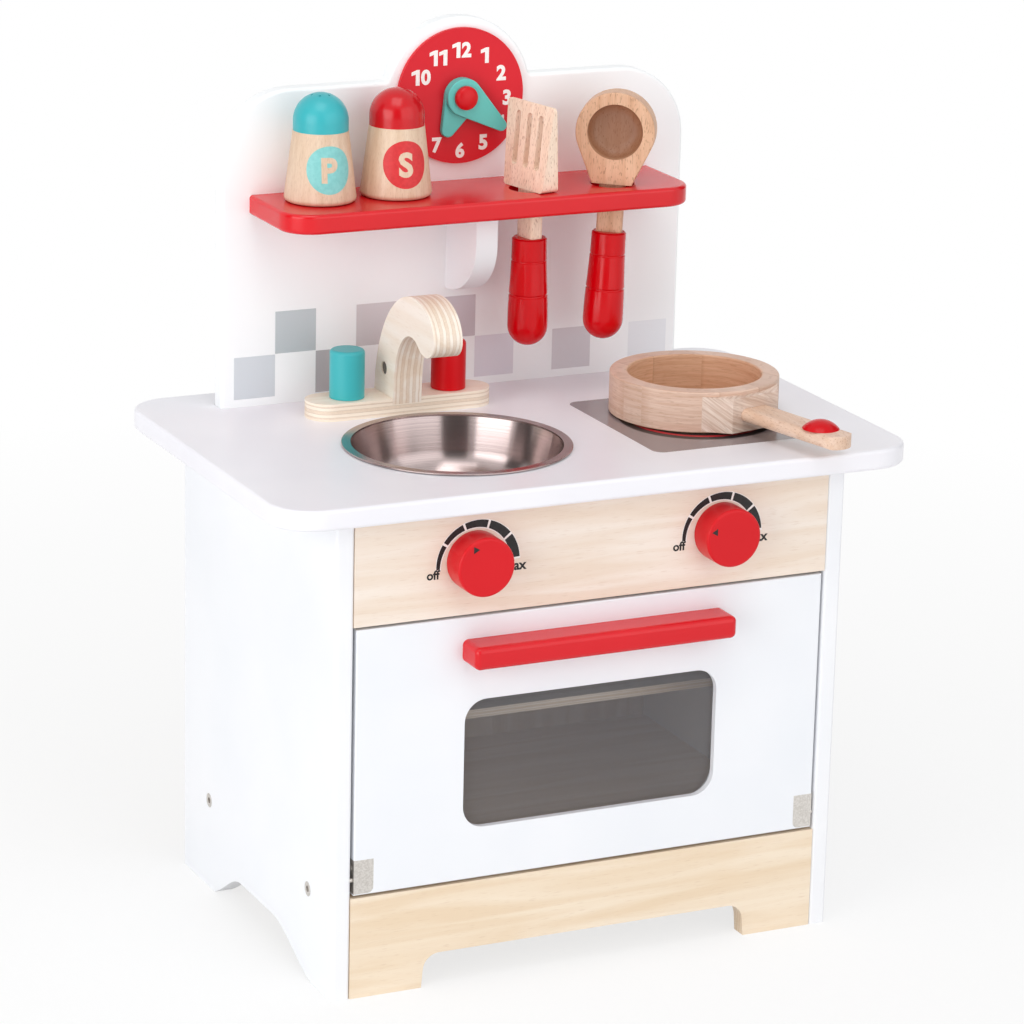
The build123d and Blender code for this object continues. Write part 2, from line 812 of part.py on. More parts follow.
# Spout: a hooked board, held down by a bolt into a barrel nut
with BuildPart() as spout:
    with BuildSketch(Plane.YZ.offset(faucet_x - spout_thick / 2)):
        with BuildLine():
            heel = faucet_y + faucet_width / 2
            toe = faucet_y - faucet_width / 2
            crown = (heel - spout_crown, spout_foot + spout_height)
            tip = (heel - spout_reach, spout_foot + spout_tip_rise)
            mouth = (heel - spout_mouth_reach, spout_foot + spout_mouth_rise)
            arch = (heel - spout_arch_reach, spout_foot + spout_arch_rise)
            knee = (heel - spout_leg_depth, spout_foot + spout_leg_rise)
            Polyline(knee, (toe, spout_foot), (heel, spout_foot))
            quarter((heel, spout_foot), crown, level_first=False)
            quarter(crown, tip, level_first=True)
            quarter(tip, mouth, level_first=False)
            halfway = (mouth[0] + arch[0]) / 2
            Bezier(mouth, (halfway, mouth[1]), (halfway, arch[1]), arch)
            quarter(arch, knee, level_first=True)
        make_face()
    extrude(amount=spout_thick)
    bore(
        (faucet_x, faucet_y, spout_foot), (0, 0, 1), bolt_radius + fit_gap,
        spout_nut_rise - faucet_base_thick + spout_notch + bolt_tail,
    )
    bore(
        (faucet_x - spout_thick / 2, faucet_y, top_z + spout_nut_rise), (1, 0, 0),
        nut_radius + fit_gap, spout_thick,
    )
save(spout, "faucet_spout")

# Faucet bolt, up from under the countertop
with BuildPart() as faucet_bolt:
    rod(
        (faucet_x, faucet_y, cabinet_height), (0, 0, -1), faucet_bolt_head, bolt_head_thick
    )
    rod(
        (faucet_x, faucet_y, cabinet_height), (0, 0, 1), bolt_radius,
        top_thick + spout_nut_rise + bolt_tail - fit_gap,
    )
save(faucet_bolt, "faucet_bolt")

# Faucet nut: a barrel nut across the spout, crossed by the bolt
with BuildPart() as faucet_nut:
    rod(
        (faucet_x - spout_thick / 2 + nut_skin, faucet_y, top_z + spout_nut_rise), (1, 0, 0),
        nut_radius, spout_thick - 2 * nut_skin,
    )
    bore(
        (faucet_x, faucet_y, spout_foot), (0, 0, 1), bolt_radius + fit_gap,
        spout_nut_rise + bolt_tail,
    )
save(faucet_nut, "faucet_nut")

# Tap axles: headed pins from under the countertop
with BuildPart() as tap_axles:
    for hand in (-1, 1):
        at = (faucet_x + hand * tap_spacing / 2, faucet_y, cabinet_height)
        rod(at, (0, 0, -1), axle_head_radius, axle_head_thick)
        rod(at, (0, 0, 1), axle_radius, top_thick + faucet_base_thick + tap_bore_depth - rest_gap)
save(tap_axles, "tap_axles")


# Taps: round posts that turn on their axles
def tap(hand):
    x = faucet_x + hand * tap_spacing / 2
    foot = top_z + faucet_base_thick + rest_gap
    with BuildPart() as post:
        with BuildSketch(Plane.XY.offset(foot)):
            with Locations((x, faucet_y)):
                Circle(tap_radius)
        extrude(amount=tap_height)
        fillet(post.edges().sort_by(Axis.Z)[-1], tap_edge)
        bore((x, faucet_y, foot), (0, 0, 1), axle_radius + run_gap, tap_bore_depth)
    return post


save(tap(-1), "tap_cold")
save(tap(1), "tap_hot")

# Sink bowl: a pressed steel basin whose rim hangs on the countertop
with BuildPart() as sink_bowl:
    axis = Axis((sink_x, sink_y, 0), (0, 0, 1))
    rim_bottom = top_z + rest_gap
    with BuildSketch(upright(sink_x, sink_y)) as section:
        with BuildLine():
            foot = sink_hole_radius - bowl_taper
            Polyline(
                (0, rim_bottom - bowl_depth), (foot, rim_bottom - bowl_depth),
                (sink_hole_radius, rim_bottom), (0, rim_bottom), close=True,
            )
        make_face()
        low_corner = section.vertices().group_by(Axis.Y)[0].sort_by(Axis.X)[-1]
        fillet(low_corner, bowl_corner)
    revolve(axis=axis)
    offset(amount=-bowl_wall, openings=sink_bowl.faces().sort_by(Axis.Z)[-1])
    with BuildSketch(upright(sink_x, sink_y)) as ring:
        with Locations(((rim_radius + sink_hole_radius - bowl_wall) / 2, rim_bottom + rim_thick / 2)):
            Rectangle(rim_radius - sink_hole_radius + bowl_wall, rim_thick)
        fillet(ring.vertices().group_by(Axis.X)[-1], min(rim_edge, rim_thick / 3))
    revolve(axis=axis)
save(sink_bowl, "sink_bowl")

# Hob plate, let into the countertop
with BuildPart() as hob:
    with BuildSketch(Plane.XY.offset(top_z - hob_thick)):
        with Locations((hob_x, hob_y)):
            RectangleRounded(hob_width, hob_depth, hob_corner)
    extrude(amount=hob_thick)
save(hob, "hob_plate")

# Magnet catch: a block behind the control panel whose magnet reaches down behind the door
with BuildPart() as catch:
    catch_top = control_bottom + catch_height / 2
    with BuildSketch(Plane.XY.offset(control_bottom)):
        with Locations((0, panel_back + catch_depth / 2)):
            Rectangle(catch_width, catch_depth)
    extrude(amount=catch_height / 2)
    magnet_front = door_back + rest_gap
    magnet_back = panel_back + catch_depth
    with BuildSketch(Plane.XY.offset(control_bottom)):
        with Locations((0, (magnet_front + magnet_back) / 2)):
            Rectangle(catch_width, magnet_back - magnet_front)
    extrude(amount=-catch_height / 2)
save(catch, "magnet_catch")

# Hinge pins, fixed in the side panels, that the door turns on
hinge_pin_length = hinge_pin_grip + door_gap + hinge_pin_reach
with BuildPart() as hinge_pins:
    for hand in (-1, 1):
        rod(
            (hand * (inner_x + hinge_pin_grip), hinge_y, hinge_z), (-hand, 0, 0),
            hinge_pin_radius, hinge_pin_length,
        )
save(hinge_pins, "hinge_pins")

# Knob axles: headed pins from behind the control panel
with BuildPart() as knob_axles:
    for hand in (-1, 1):
        at = (knob_shift + hand * knob_spacing / 2, panel_back, knob_z)
        rod(at, (0, 1, 0), axle_head_radius, axle_head_thick)
        rod(at, (0, -1, 0), axle_radius, panel_thick + knob_bore_depth - rest_gap)
save(knob_axles, "knob_axles")


# Knobs: plain round turnings with a flat face
def knob(hand):
    x = knob_shift + hand * knob_spacing / 2
    seat = front - rest_gap
    with BuildPart() as turning:
        with BuildSketch(facing_front(seat)):
            with Locations((x, knob_z)):
                Circle(knob_radius)
        extrude(amount=knob_depth)
        fillet(turning.edges().sort_by(Axis.Y)[0], knob_edge)
        bore((x, seat, knob_z), (0, -1, 0), axle_radius + run_gap, knob_bore_depth)
    return turning


save(knob(-1), "knob_left")
save(knob(1), "knob_right")


# Hinge plates: bent metal that wraps the door's lower corners, drilled for the pin
def hinge_plate(hand):
    edge = hand * door_half
    with BuildPart() as plate:
        with BuildSketch(Plane.XY.offset(door_bottom + plate_thick)):
            with Locations((edge - hand * plate_width / 2, front + plate_thick / 2)):
                Rectangle(plate_width, plate_thick)
            with Locations((edge - hand * plate_thick / 2, front + plate_depth / 2)):
                Rectangle(plate_thick, plate_depth)
        extrude(amount=plate_height)
        leaf_corner = (
            plate.edges().filter_by(Axis.Y).group_by(Axis.Z)[0].sort_by(lambda e: abs(e.center().X))
        )
        fillet(leaf_corner[0], plate_corner)
    return plate


# Door: white board with a window, rebated behind for the pane and in front for the hinge plates
window_z = door_bottom + window_rise + window_height / 2
pane_front = front + pane_setback
with BuildPart() as door:
    with BuildSketch(facing_front(door_back)):
        with Locations((0, (door_bottom + door_top) / 2)):
            Rectangle(2 * door_half, door_top - door_bottom)
    extrude(amount=door_thick)
    outer_edges = door.faces().sort_by(Axis.Y)[0].edges()
    fillet(outer_edges, door_arris)
    with BuildSketch(facing_front(door_back)):
        with Locations((0, window_z)):
            RectangleRounded(window_width, window_height, window_corner)
    extrude(amount=door_thick, mode=Mode.SUBTRACT)
    with BuildSketch(facing_front(door_back)):
        with Locations((0, window_z)):
            RectangleRounded(
                window_width + 2 * (pane_lap + fit_gap), window_height + 2 * (pane_lap + fit_gap),
                window_corner + pane_lap,
            )
    extrude(amount=door_back - pane_front, mode=Mode.SUBTRACT)
    with BuildSketch(facing_front(door_back)):
        with Locations((0, door_top - strike_height / 2)):
            Rectangle(strike_width + 2 * fit_gap, strike_height)
    extrude(amount=strike_thick, mode=Mode.SUBTRACT)
    for hand in (-1, 1):
        add(hinge_plate(hand).part, mode=Mode.SUBTRACT)
        bore(
            (hand * door_half, hinge_y, hinge_z), (-hand, 0, 0), hinge_pin_radius + run_gap,
            hinge_pin_reach + rest_gap,
        )
        bore(
            (hand * door_half, plate_screw_y, plate_screw_z), (-hand, 0, 0),
            plate_screw_radius + fit_gap, plate_screw_length + fit_gap,
        )
        behind = (hand * handle_screw_spacing / 2, door_back, handle_z)
        bore(behind, (0, -1, 0), screw_head_radius + fit_gap, screw_head_thick)
        bore(behind, (0, -1, 0), screw_radius + fit_gap, door_thick)
save(door, "door_panel")

# Window pane: smoked sheet glued into the rebate behind the window
with BuildPart() as pane:
    with BuildSketch(facing_front(pane_front + pane_thick)):
        with Locations((0, window_z)):
            RectangleRounded(
                window_width + 2 * pane_lap, window_height + 2 * pane_lap,
                window_corner + pane_lap,
            )
    extrude(amount=pane_thick)
save(pane, "window_pane")

# Door handle: a red bar, flat on the door and screwed from behind
with BuildPart() as handle:
    with BuildSketch(facing_front(front)):
        with Locations((0, handle_z)):
            Rectangle(handle_length, handle_height)
    extrude(amount=handle_depth)
    outer_edges = handle.edges().group_by(Axis.Y)[:-1]
    fillet([edge for group in outer_edges for edge in group], handle_edge)
    for hand in (-1, 1):
        bore(
            (hand * handle_screw_spacing / 2, front, handle_z), (0, -1, 0),
            screw_radius + fit_gap, handle_screw_bite + fit_gap,
        )
save(handle, "door_handle")

# Handle screws, from behind the door
with BuildPart() as handle_screws:
    for hand in (-1, 1):
        behind = (hand * handle_screw_spacing / 2, door_back, handle_z)
        rod(behind, (0, -1, 0), screw_head_radius, screw_head_thick)
        rod(behind, (0, -1, 0), screw_radius, door_thick + handle_screw_bite)
save(handle_screws, "handle_screws")

# Hinge plates, left and right
for hand, name in ((-1, "hinge_plate_left"), (1, "hinge_plate_right")):
    bent = hinge_plate(hand)
    with BuildPart() as plate:
        add(bent.part)
        bore(
            (hand * door_half, hinge_y, hinge_z), (-hand, 0, 0), hinge_pin_radius + run_gap,
            plate_thick,
        )
        bore(
            (hand * door_half, plate_screw_y, plate_screw_z), (-hand, 0, 0),
            plate_screw_radius + fit_gap, plate_thick,
        )
    save(plate, name)

# Plate screws, through the plates into the door's edges
with BuildPart() as plate_screws:
    for hand in (-1, 1):
        at = (hand * door_half, plate_screw_y, plate_screw_z)
        rod(at, (-hand, 0, 0), plate_screw_radius, plate_screw_length)
        rod(at, (hand, 0, 0), plate_screw_head, door_gap / 4)
save(plate_screws, "plate_screws")

# Strike plate: the steel that the magnet holds, let into the door's back
with BuildPart() as strike:
    with BuildSketch(facing_front(door_back)):
        with Locations((0, door_top - strike_height / 2)):
            Rectangle(strike_width, strike_height)
    extrude(amount=strike_thick)
save(strike, "strike_plate")


# Shakers: a painted cone with a domed cap glued in its neck
shaker_foot = shelf_top + rest_gap
shaker_shoulder = shaker_foot + shaker_height


def shaker_body(x):
    with BuildPart() as body:
        with BuildSketch(upright(x, shaker_y)):
            Polygon(
                (0, shaker_foot), (shaker_base, shaker_foot), (shaker_neck, shaker_shoulder),
                (0, shaker_shoulder), align=None,
            )
        revolve(axis=Axis((x, shaker_y, 0), (0, 0, 1)))
        fillet(body.edges().sort_by(Axis.Z)[0], shaker_edge)
        bore(
            (x, shaker_y, shaker_shoulder), (0, 0, -1), spigot_radius + fit_gap,
            spigot_length + fit_gap,
        )
    return body


def shaker_cap(x):
    with BuildPart() as cap:
        with BuildSketch(upright(x, shaker_y)):
            with BuildLine():
                spring_z = shaker_shoulder + cap_straight
                Polyline(
                    (0, spring_z + cap_radius), (0, shaker_shoulder - spigot_length),
                    (spigot_radius, shaker_shoulder - spigot_length),
                    (spigot_radius, shaker_shoulder), (cap_radius, shaker_shoulder),
                    (cap_radius, spring_z),
                )
                RadiusArc((cap_radius, spring_z), (0, spring_z + cap_radius), -cap_radius)
            make_face()
        revolve(axis=Axis((x, shaker_y, 0), (0, 0, 1)))
    return cap


save(shaker_body(pepper_x), "pepper_body")
save(shaker_body(salt_x), "salt_body")
save(shaker_cap(salt_x), "salt_cap")
with BuildPart() as pepper_cap:
    add(shaker_cap(pepper_x).part)
    dome_rise = sqrt(cap_radius**2 - sprinkle_radius**2)
    hole_top = shaker_shoulder + cap_straight + dome_rise
    with Locations(Plane((pepper_x, shaker_y, hole_top))):
        with PolarLocations(sprinkle_radius, sprinkle_count):
            Cylinder(sprinkle_hole, sprinkle_depth, mode=Mode.SUBTRACT)
save(pepper_cap, "pepper_cap")


# Hanging tools: each has a broad plane, an edge plane and a plane across its axis
def tool_planes(x, setback, turn, tilt):
    up = Vector(sin(radians(tilt)), 0, cos(radians(tilt)))
    wide = Vector(cos(radians(turn)), sin(radians(turn)), 0)
    out = wide.cross(up).normalized()
    side = up.cross(out).normalized()
    middle = Vector(x, splash_front - setback, shelf_mid)
    broad = Plane(middle, x_dir=side, z_dir=out)
    edge = Plane(middle, x_dir=out, z_dir=out.cross(up))
    across = Plane(middle, x_dir=side, z_dir=up)
    return broad, edge, across


# A turned red grip that the tool's tenon is glued into; top is measured from the shelf's middle
def tool_grip(broad, across, top):
    low = top - grip_length
    axis = Axis(across.origin, across.z_dir)
    with BuildPart() as grip:
        with BuildSketch(broad):
            with BuildLine():
                Polyline(
                    (0, low), (0, top), (grip_top_radius - grip_top_edge, top),
                    (grip_top_radius, top - grip_top_edge),
                )
                Bezier(
                    (grip_top_radius, top - grip_top_edge), (grip_top_radius, top - grip_length / 3),
                    (grip_radius, top - grip_length / 2), (grip_radius, low + grip_radius),
                )
                RadiusArc((grip_radius, low + grip_radius), (0, low), grip_radius)
            make_face()
        revolve(axis=axis)
        for down in (grip_groove_first, grip_groove_second):
            share = min(1, down / grip_swell)
            radius = grip_top_radius + (grip_radius - grip_top_radius) * share
            with Locations(across.offset(top - down)):
                Torus(radius + grip_groove / 3, grip_groove, mode=Mode.SUBTRACT)
        with Locations(across.offset(top)):
            Cylinder(
                tenon_radius + fit_gap, tenon_length + fit_gap,
                align=(Align.CENTER, Align.CENTER, Align.MAX), mode=Mode.SUBTRACT,
            )
    return grip


# The flat shank below a tool's head, with the round tenon on its end
def shank(across, top):
    with BuildSketch(across.offset(top)) as flat:
        RectangleRounded(shank_width, shank_thick, shank_thick / 4)
    extrude(flat.sketch, amount=-shank_length)
    with BuildSketch(across.offset(top - shank_length)) as tenon:
        Circle(tenon_radius)
    extrude(tenon.sketch, amount=-tenon_length)


# Spatula: a slotted wedge of wood
broad, edge, across = tool_planes(spatula_x, spatula_setback, spatula_turn, 0)
blade_foot = shelf_thick / 2 + rest_gap
with BuildPart() as spatula_blade:
    with BuildSketch(broad) as outline:
        half_foot = blade_foot_width / 2
        half_tip = blade_tip_width / 2
        Polygon(
            (-half_foot, blade_foot), (half_foot, blade_foot),
            (half_tip, blade_foot + blade_height), (-half_tip, blade_foot + blade_height),
            align=None,
        )
        fillet(outline.vertices(), blade_corner)
        with Locations((0, blade_foot + blade_slot_rise + blade_slot_length / 2)):
            with GridLocations(blade_slot_pitch, 0, 3, 1):
                SlotOverall(
                    blade_slot_length, blade_slot_width, rotation=90, mode=Mode.SUBTRACT
                )
    extrude(amount=blade_foot_thick / 2, both=True)
    with BuildSketch(edge):
        thick = blade_foot_thick / 2
        thin = blade_tip_thick / 2
        Polygon(
            (-thick, blade_foot), (thick, blade_foot), (thin, blade_foot + blade_height),
            (-thin, blade_foot + blade_height), align=None,
        )
    extrude(amount=blade_tip_width, both=True, mode=Mode.INTERSECT)
    shank(across, blade_foot)
save(spatula_blade, "spatula_blade")
save(tool_grip(broad, across, blade_foot - shank_length), "spatula_handle")

# Ladle: a thick round head with a scooped face, leaning a little in its hole
broad, edge, across = tool_planes(ladle_x, ladle_setback, ladle_turn, ladle_tilt)
ladle_foot = shelf_thick / 2 + ladle_lift
with BuildPart() as ladle_head:
    with BuildSketch(broad):
        with Locations((0, ladle_foot + ladle_rise)):
            Circle(ladle_radius)
        with Locations((0, ladle_foot + ladle_neck_edge / 2)):
            Rectangle(ladle_neck, ladle_neck_edge)
        make_hull()
    extrude(amount=ladle_thick / 2, both=True)
    fillet(ladle_head.edges().filter_by(GeomType.CIRCLE), ladle_edge)
    with BuildSketch(broad.offset(ladle_thick / 2)):
        with Locations((0, ladle_foot + ladle_rise)):
            Circle(ladle_recess_radius)
    extrude(amount=-ladle_recess_depth, mode=Mode.SUBTRACT)
    recess_floor = broad.offset(ladle_thick / 2 - ladle_recess_depth)
    floor_rim = [
        edge for edge in ladle_head.edges().filter_by(GeomType.CIRCLE)
        if abs(recess_floor.to_local_coords(edge.center()).Z) < near
    ]
    fillet(floor_rim, ladle_recess_corner)
    shank(across, ladle_foot)
save(ladle_head, "ladle_head")
save(tool_grip(broad, across, ladle_foot - shank_length), "ladle_handle")

# Pan base: a thin round board, let into the ring's underside
with BuildPart() as pan_base:
    with BuildSketch(Plane.XY.offset(pan_seat)):
        with Locations((pan_x, pan_y)):
            Circle(pan_radius - pan_base_inset)
    extrude(amount=pan_base_thick)
save(pan_base, "pan_base")

# Pan ring: the thick turned wall, rebated for the base and mortised for the handle
pan_top = top_z + pan_height
ring_bottom = pan_seat + pan_base_show
pan_forward = (sin(radians(pan_handle_turn)), -cos(radians(pan_handle_turn)), 0)
handle_mid_z = top_z + pan_handle_top - pan_handle_thick / 2
pan_handle_back = block_reach - pan_handle_grip
handle_plan = Plane(
    (pan_x, pan_y, handle_mid_z), x_dir=pan_forward, z_dir=(0, 0, 1)
)
handle_across = Plane(
    (pan_x, pan_y, handle_mid_z), x_dir=(0, 0, 1), z_dir=pan_forward
)


def pan_mortise():
    """The round-ended slot that the handle's tenon goes into."""
    with BuildSketch(handle_across.offset(pan_handle_back - fit_gap)) as slot:
        SlotOverall(
            pan_handle_width + 2 * fit_gap, pan_handle_thick + 2 * fit_gap, rotation=90
        )
    extrude(slot.sketch, amount=pan_handle_reach, mode=Mode.SUBTRACT)


with BuildPart() as pan_ring:
    with BuildSketch(Plane.XY.offset(ring_bottom)):
        with Locations((pan_x, pan_y)):
            Circle(pan_radius)
            Circle(pan_radius - pan_wall, mode=Mode.SUBTRACT)
    extrude(amount=pan_top - ring_bottom)
    fillet(pan_ring.faces().sort_by(Axis.Z)[-1].edges(), pan_edge)
    with BuildSketch(Plane.XY.offset(ring_bottom)):
        with Locations((pan_x, pan_y)):
            Circle(pan_radius - pan_base_inset + fit_gap)
    extrude(amount=pan_seat + pan_base_thick - ring_bottom, mode=Mode.SUBTRACT)
    pan_mortise()
save(pan_ring, "pan_ring")

# Pan block: the wedge between ring and handle, hollowed to the ring's curve
with BuildPart() as pan_block:
    block_plan = Plane((pan_x, pan_y, top_z + block_rise), x_dir=pan_forward, z_dir=(0, 0, 1))
    with BuildSketch(block_plan) as plan:
        ring_meets = sqrt(pan_radius**2 - (block_back / 2) ** 2)
        Polygon(
            (block_reach, -block_front / 2), (block_reach, block_front / 2),
            (ring_meets, block_back / 2), (ring_meets, -block_back / 2), align=None,
        )
        Circle(pan_radius, mode=Mode.SUBTRACT)
    extrude(amount=block_top - block_rise)
    pan_mortise()
save(pan_block, "pan_block")

# Pan handle: a flat bar with a round end and rounded edges, tenoned through the block
with BuildPart() as pan_handle:
    with BuildSketch(handle_across.offset(pan_handle_back)):
        SlotOverall(pan_handle_width, pan_handle_thick, rotation=90)
    extrude(amount=pan_handle_reach)
    with BuildSketch(handle_plan):
        straight = pan_handle_reach - pan_handle_width / 2
        with Locations((straight / 2, 0)):
            Rectangle(straight, pan_handle_width)
        with Locations((straight, 0)):
            Circle(pan_handle_width / 2)
    extrude(amount=pan_handle_thick, both=True, mode=Mode.INTERSECT)
save(pan_handle, "pan_handle")

# Pan button: half a ball near the handle's end
with BuildPart() as pan_button:
    ball = (button_radius**2 + button_height**2) / (2 * button_height)
    button_reach = pan_handle_reach - button_inset
    button_seat = top_z + pan_handle_top
    spot = (
        pan_x + button_reach * pan_forward[0], pan_y + button_reach * pan_forward[1]
    )
    with BuildSketch(upright(spot[0], spot[1])):
        with BuildLine():
            Polyline(
                (0, button_seat + button_height), (0, button_seat), (button_radius, button_seat)
            )
            RadiusArc((button_radius, button_seat), (0, button_seat + button_height), -ball)
        make_face()
    revolve(axis=Axis((spot[0], spot[1], 0), (0, 0, 1)))
save(pan_button, "pan_button")
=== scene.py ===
"""The looks of a toy kitchen: painted boards, bare birch and beech, a steel sink, loose tools."""

import bpy
import bmesh
from math import cos, pi, radians, sin
from mathutils import Matrix, Vector


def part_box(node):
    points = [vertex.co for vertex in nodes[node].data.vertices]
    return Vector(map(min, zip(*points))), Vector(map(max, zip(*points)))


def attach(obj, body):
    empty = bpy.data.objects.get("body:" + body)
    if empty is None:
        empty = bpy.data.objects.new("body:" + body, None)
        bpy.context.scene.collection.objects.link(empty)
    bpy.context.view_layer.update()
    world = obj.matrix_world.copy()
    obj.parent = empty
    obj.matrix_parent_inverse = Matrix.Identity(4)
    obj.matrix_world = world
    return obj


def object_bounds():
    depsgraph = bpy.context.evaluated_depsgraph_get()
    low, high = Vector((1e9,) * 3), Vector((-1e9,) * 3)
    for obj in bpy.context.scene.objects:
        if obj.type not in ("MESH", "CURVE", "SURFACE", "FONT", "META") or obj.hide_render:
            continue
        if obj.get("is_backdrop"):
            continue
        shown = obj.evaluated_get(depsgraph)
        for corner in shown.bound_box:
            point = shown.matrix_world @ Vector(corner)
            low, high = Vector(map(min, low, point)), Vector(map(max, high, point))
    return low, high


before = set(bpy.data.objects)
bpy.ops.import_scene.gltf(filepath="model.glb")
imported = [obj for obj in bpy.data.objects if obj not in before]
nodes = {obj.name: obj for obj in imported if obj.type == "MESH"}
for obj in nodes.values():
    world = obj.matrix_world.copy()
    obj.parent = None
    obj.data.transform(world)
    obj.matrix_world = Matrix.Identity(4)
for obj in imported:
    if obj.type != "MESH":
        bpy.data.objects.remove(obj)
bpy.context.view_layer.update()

mm = 0.001


# Side panels, bracket and backsplash
# Medium-density board, sprayed with two coats of satin white enamel and rubbed down between them.
# The coats leave soft round edges and a faint orange peel.
def srgb(hex_code):
    """A written sRGB colour as the linear colour that Blender works in."""
    parts = [int(hex_code[i:i + 2], 16) / 255 for i in (1, 3, 5)]
    linear = [p / 12.92 if p <= 0.04045 else ((p + 0.055) / 1.055) ** 2.4 for p in parts]
    return (*linear, 1.0)


def add(tree, kind, inputs=None, **settings):
    """Adds a node with its settings; an input takes a value, a socket, or a node's first output."""
    made = tree.nodes.new(kind)
    for name, value in settings.items():
        setattr(made, name, value)
    for socket, value in (inputs or {}).items():
        if isinstance(value, bpy.types.Node):
            value = next(output for output in value.outputs if output.enabled)
        if isinstance(value, bpy.types.NodeSocket):
            tree.links.new(value, made.inputs[socket])
        else:
            made.inputs[socket].default_value = value
    return made


def new_material(name):
    """An empty material, its node tree, and the place of a point on the object."""
    material = bpy.data.materials.new(name)
    material.use_nodes = True
    tree = material.node_tree
    tree.nodes.clear()
    return material, tree, add(tree, "ShaderNodeTexCoord").outputs["Object"]


def enamel(name, colour, shade, roughness, gloss=0.5, grain_axis=None):
    """Sprayed or dipped enamel: an even colour, a faint orange peel, and the grain under it."""
    material, tree, place = new_material(name)
    cloud = add(
        tree, "ShaderNodeTexNoise", {"Vector": place, "Scale": 1 / (90 * mm), "Detail": 2.0}
    )
    share = add(tree, "ShaderNodeMapRange", {"Value": cloud, "From Min": 0.3, "From Max": 0.7})
    tint = add(
        tree, "ShaderNodeMix", {0: share, 6: srgb(colour), 7: srgb(shade)}, data_type="RGBA"
    )
    height = add(
        tree, "ShaderNodeTexNoise", {"Vector": place, "Scale": 1 / (1.6 * mm), "Detail": 1.0}
    )
    if grain_axis is not None:
        squeeze = [1 / (0.8 * mm)] * 3
        squeeze[grain_axis] = 1 / (14 * mm)
        along = add(tree, "ShaderNodeMapping", {"Vector": place, "Scale": squeeze})
        fibres = add(tree, "ShaderNodeTexNoise", {"Vector": along, "Scale": 1.0, "Detail": 2.0})
        height = add(tree, "ShaderNodeMath", {0: height, 1: fibres}, operation="ADD")
    bump = add(tree, "ShaderNodeBump", {"Height": height, "Strength": 0.12, "Distance": 0.1 * mm})
    rough = add(
        tree, "ShaderNodeMapRange",
        {"Value": cloud, "To Min": roughness - 0.04, "To Max": roughness + 0.04},
    )
    shader = add(
        tree, "ShaderNodeBsdfPrincipled",
        {"Base Color": tint, "Roughness": rough, "Normal": bump, "Specular IOR Level": gloss},
    )
    add(tree, "ShaderNodeOutputMaterial", {"Surface": shader})
    return material


def dress(material, *names):
    """Gives CAD nodes their material."""
    for name in names:
        slots = nodes[name].material_slots
        if not slots:
            nodes[name].data.materials.append(material)
        for slot in slots:
            slot.material = material


white_enamel = enamel("satin white enamel on board", "#F4F5F8", "#F0F2F6", 0.38)
dress(white_enamel, "side_panel_left", "side_panel_right", "shelf_bracket")
# The backsplash's enamel is written lighter than the sides': painted light, to offset the shade
# under the shelf.
splash_lightened_enamel = enamel("satin white enamel, backsplash", "#FCFEFF", "#F8FAFC", 0.38)
dress(splash_lightened_enamel, "backsplash")

# Countertop
# The same board and enamel as the sides, a shade cooler, with all its edges rounded over.
# It is screwed down from inside, so nothing shows on top.
top_enamel = enamel("satin countertop enamel", "#F0EFF4", "#EBEAF0", 0.30)
dress(top_enamel, "countertop")


# Control panel, plinth and oven boards
# Birch plywood under clear lacquer, its face veneer peeled from the log, so that the growth rings
# run as wide wavy bands. The edges show thin plies, every second one darker end grain.
X, Y, Z = 0, 1, 2


def wood_grain(tree, place, axis, parts):
    """The parts of a wood's grain, each a pattern with one size across an axis and one along it."""
    grain = {}
    for part, across, along, settings in parts:
        scale = [1 / (across * mm)] * 3
        scale[axis] = 1 / (along * mm)
        stretched = add(tree, "ShaderNodeMapping", {"Vector": place, "Scale": scale})
        grain[part] = add(
            tree, "ShaderNodeTexNoise", {"Vector": stretched, "Scale": 1.0, **settings}
        )
    return grain


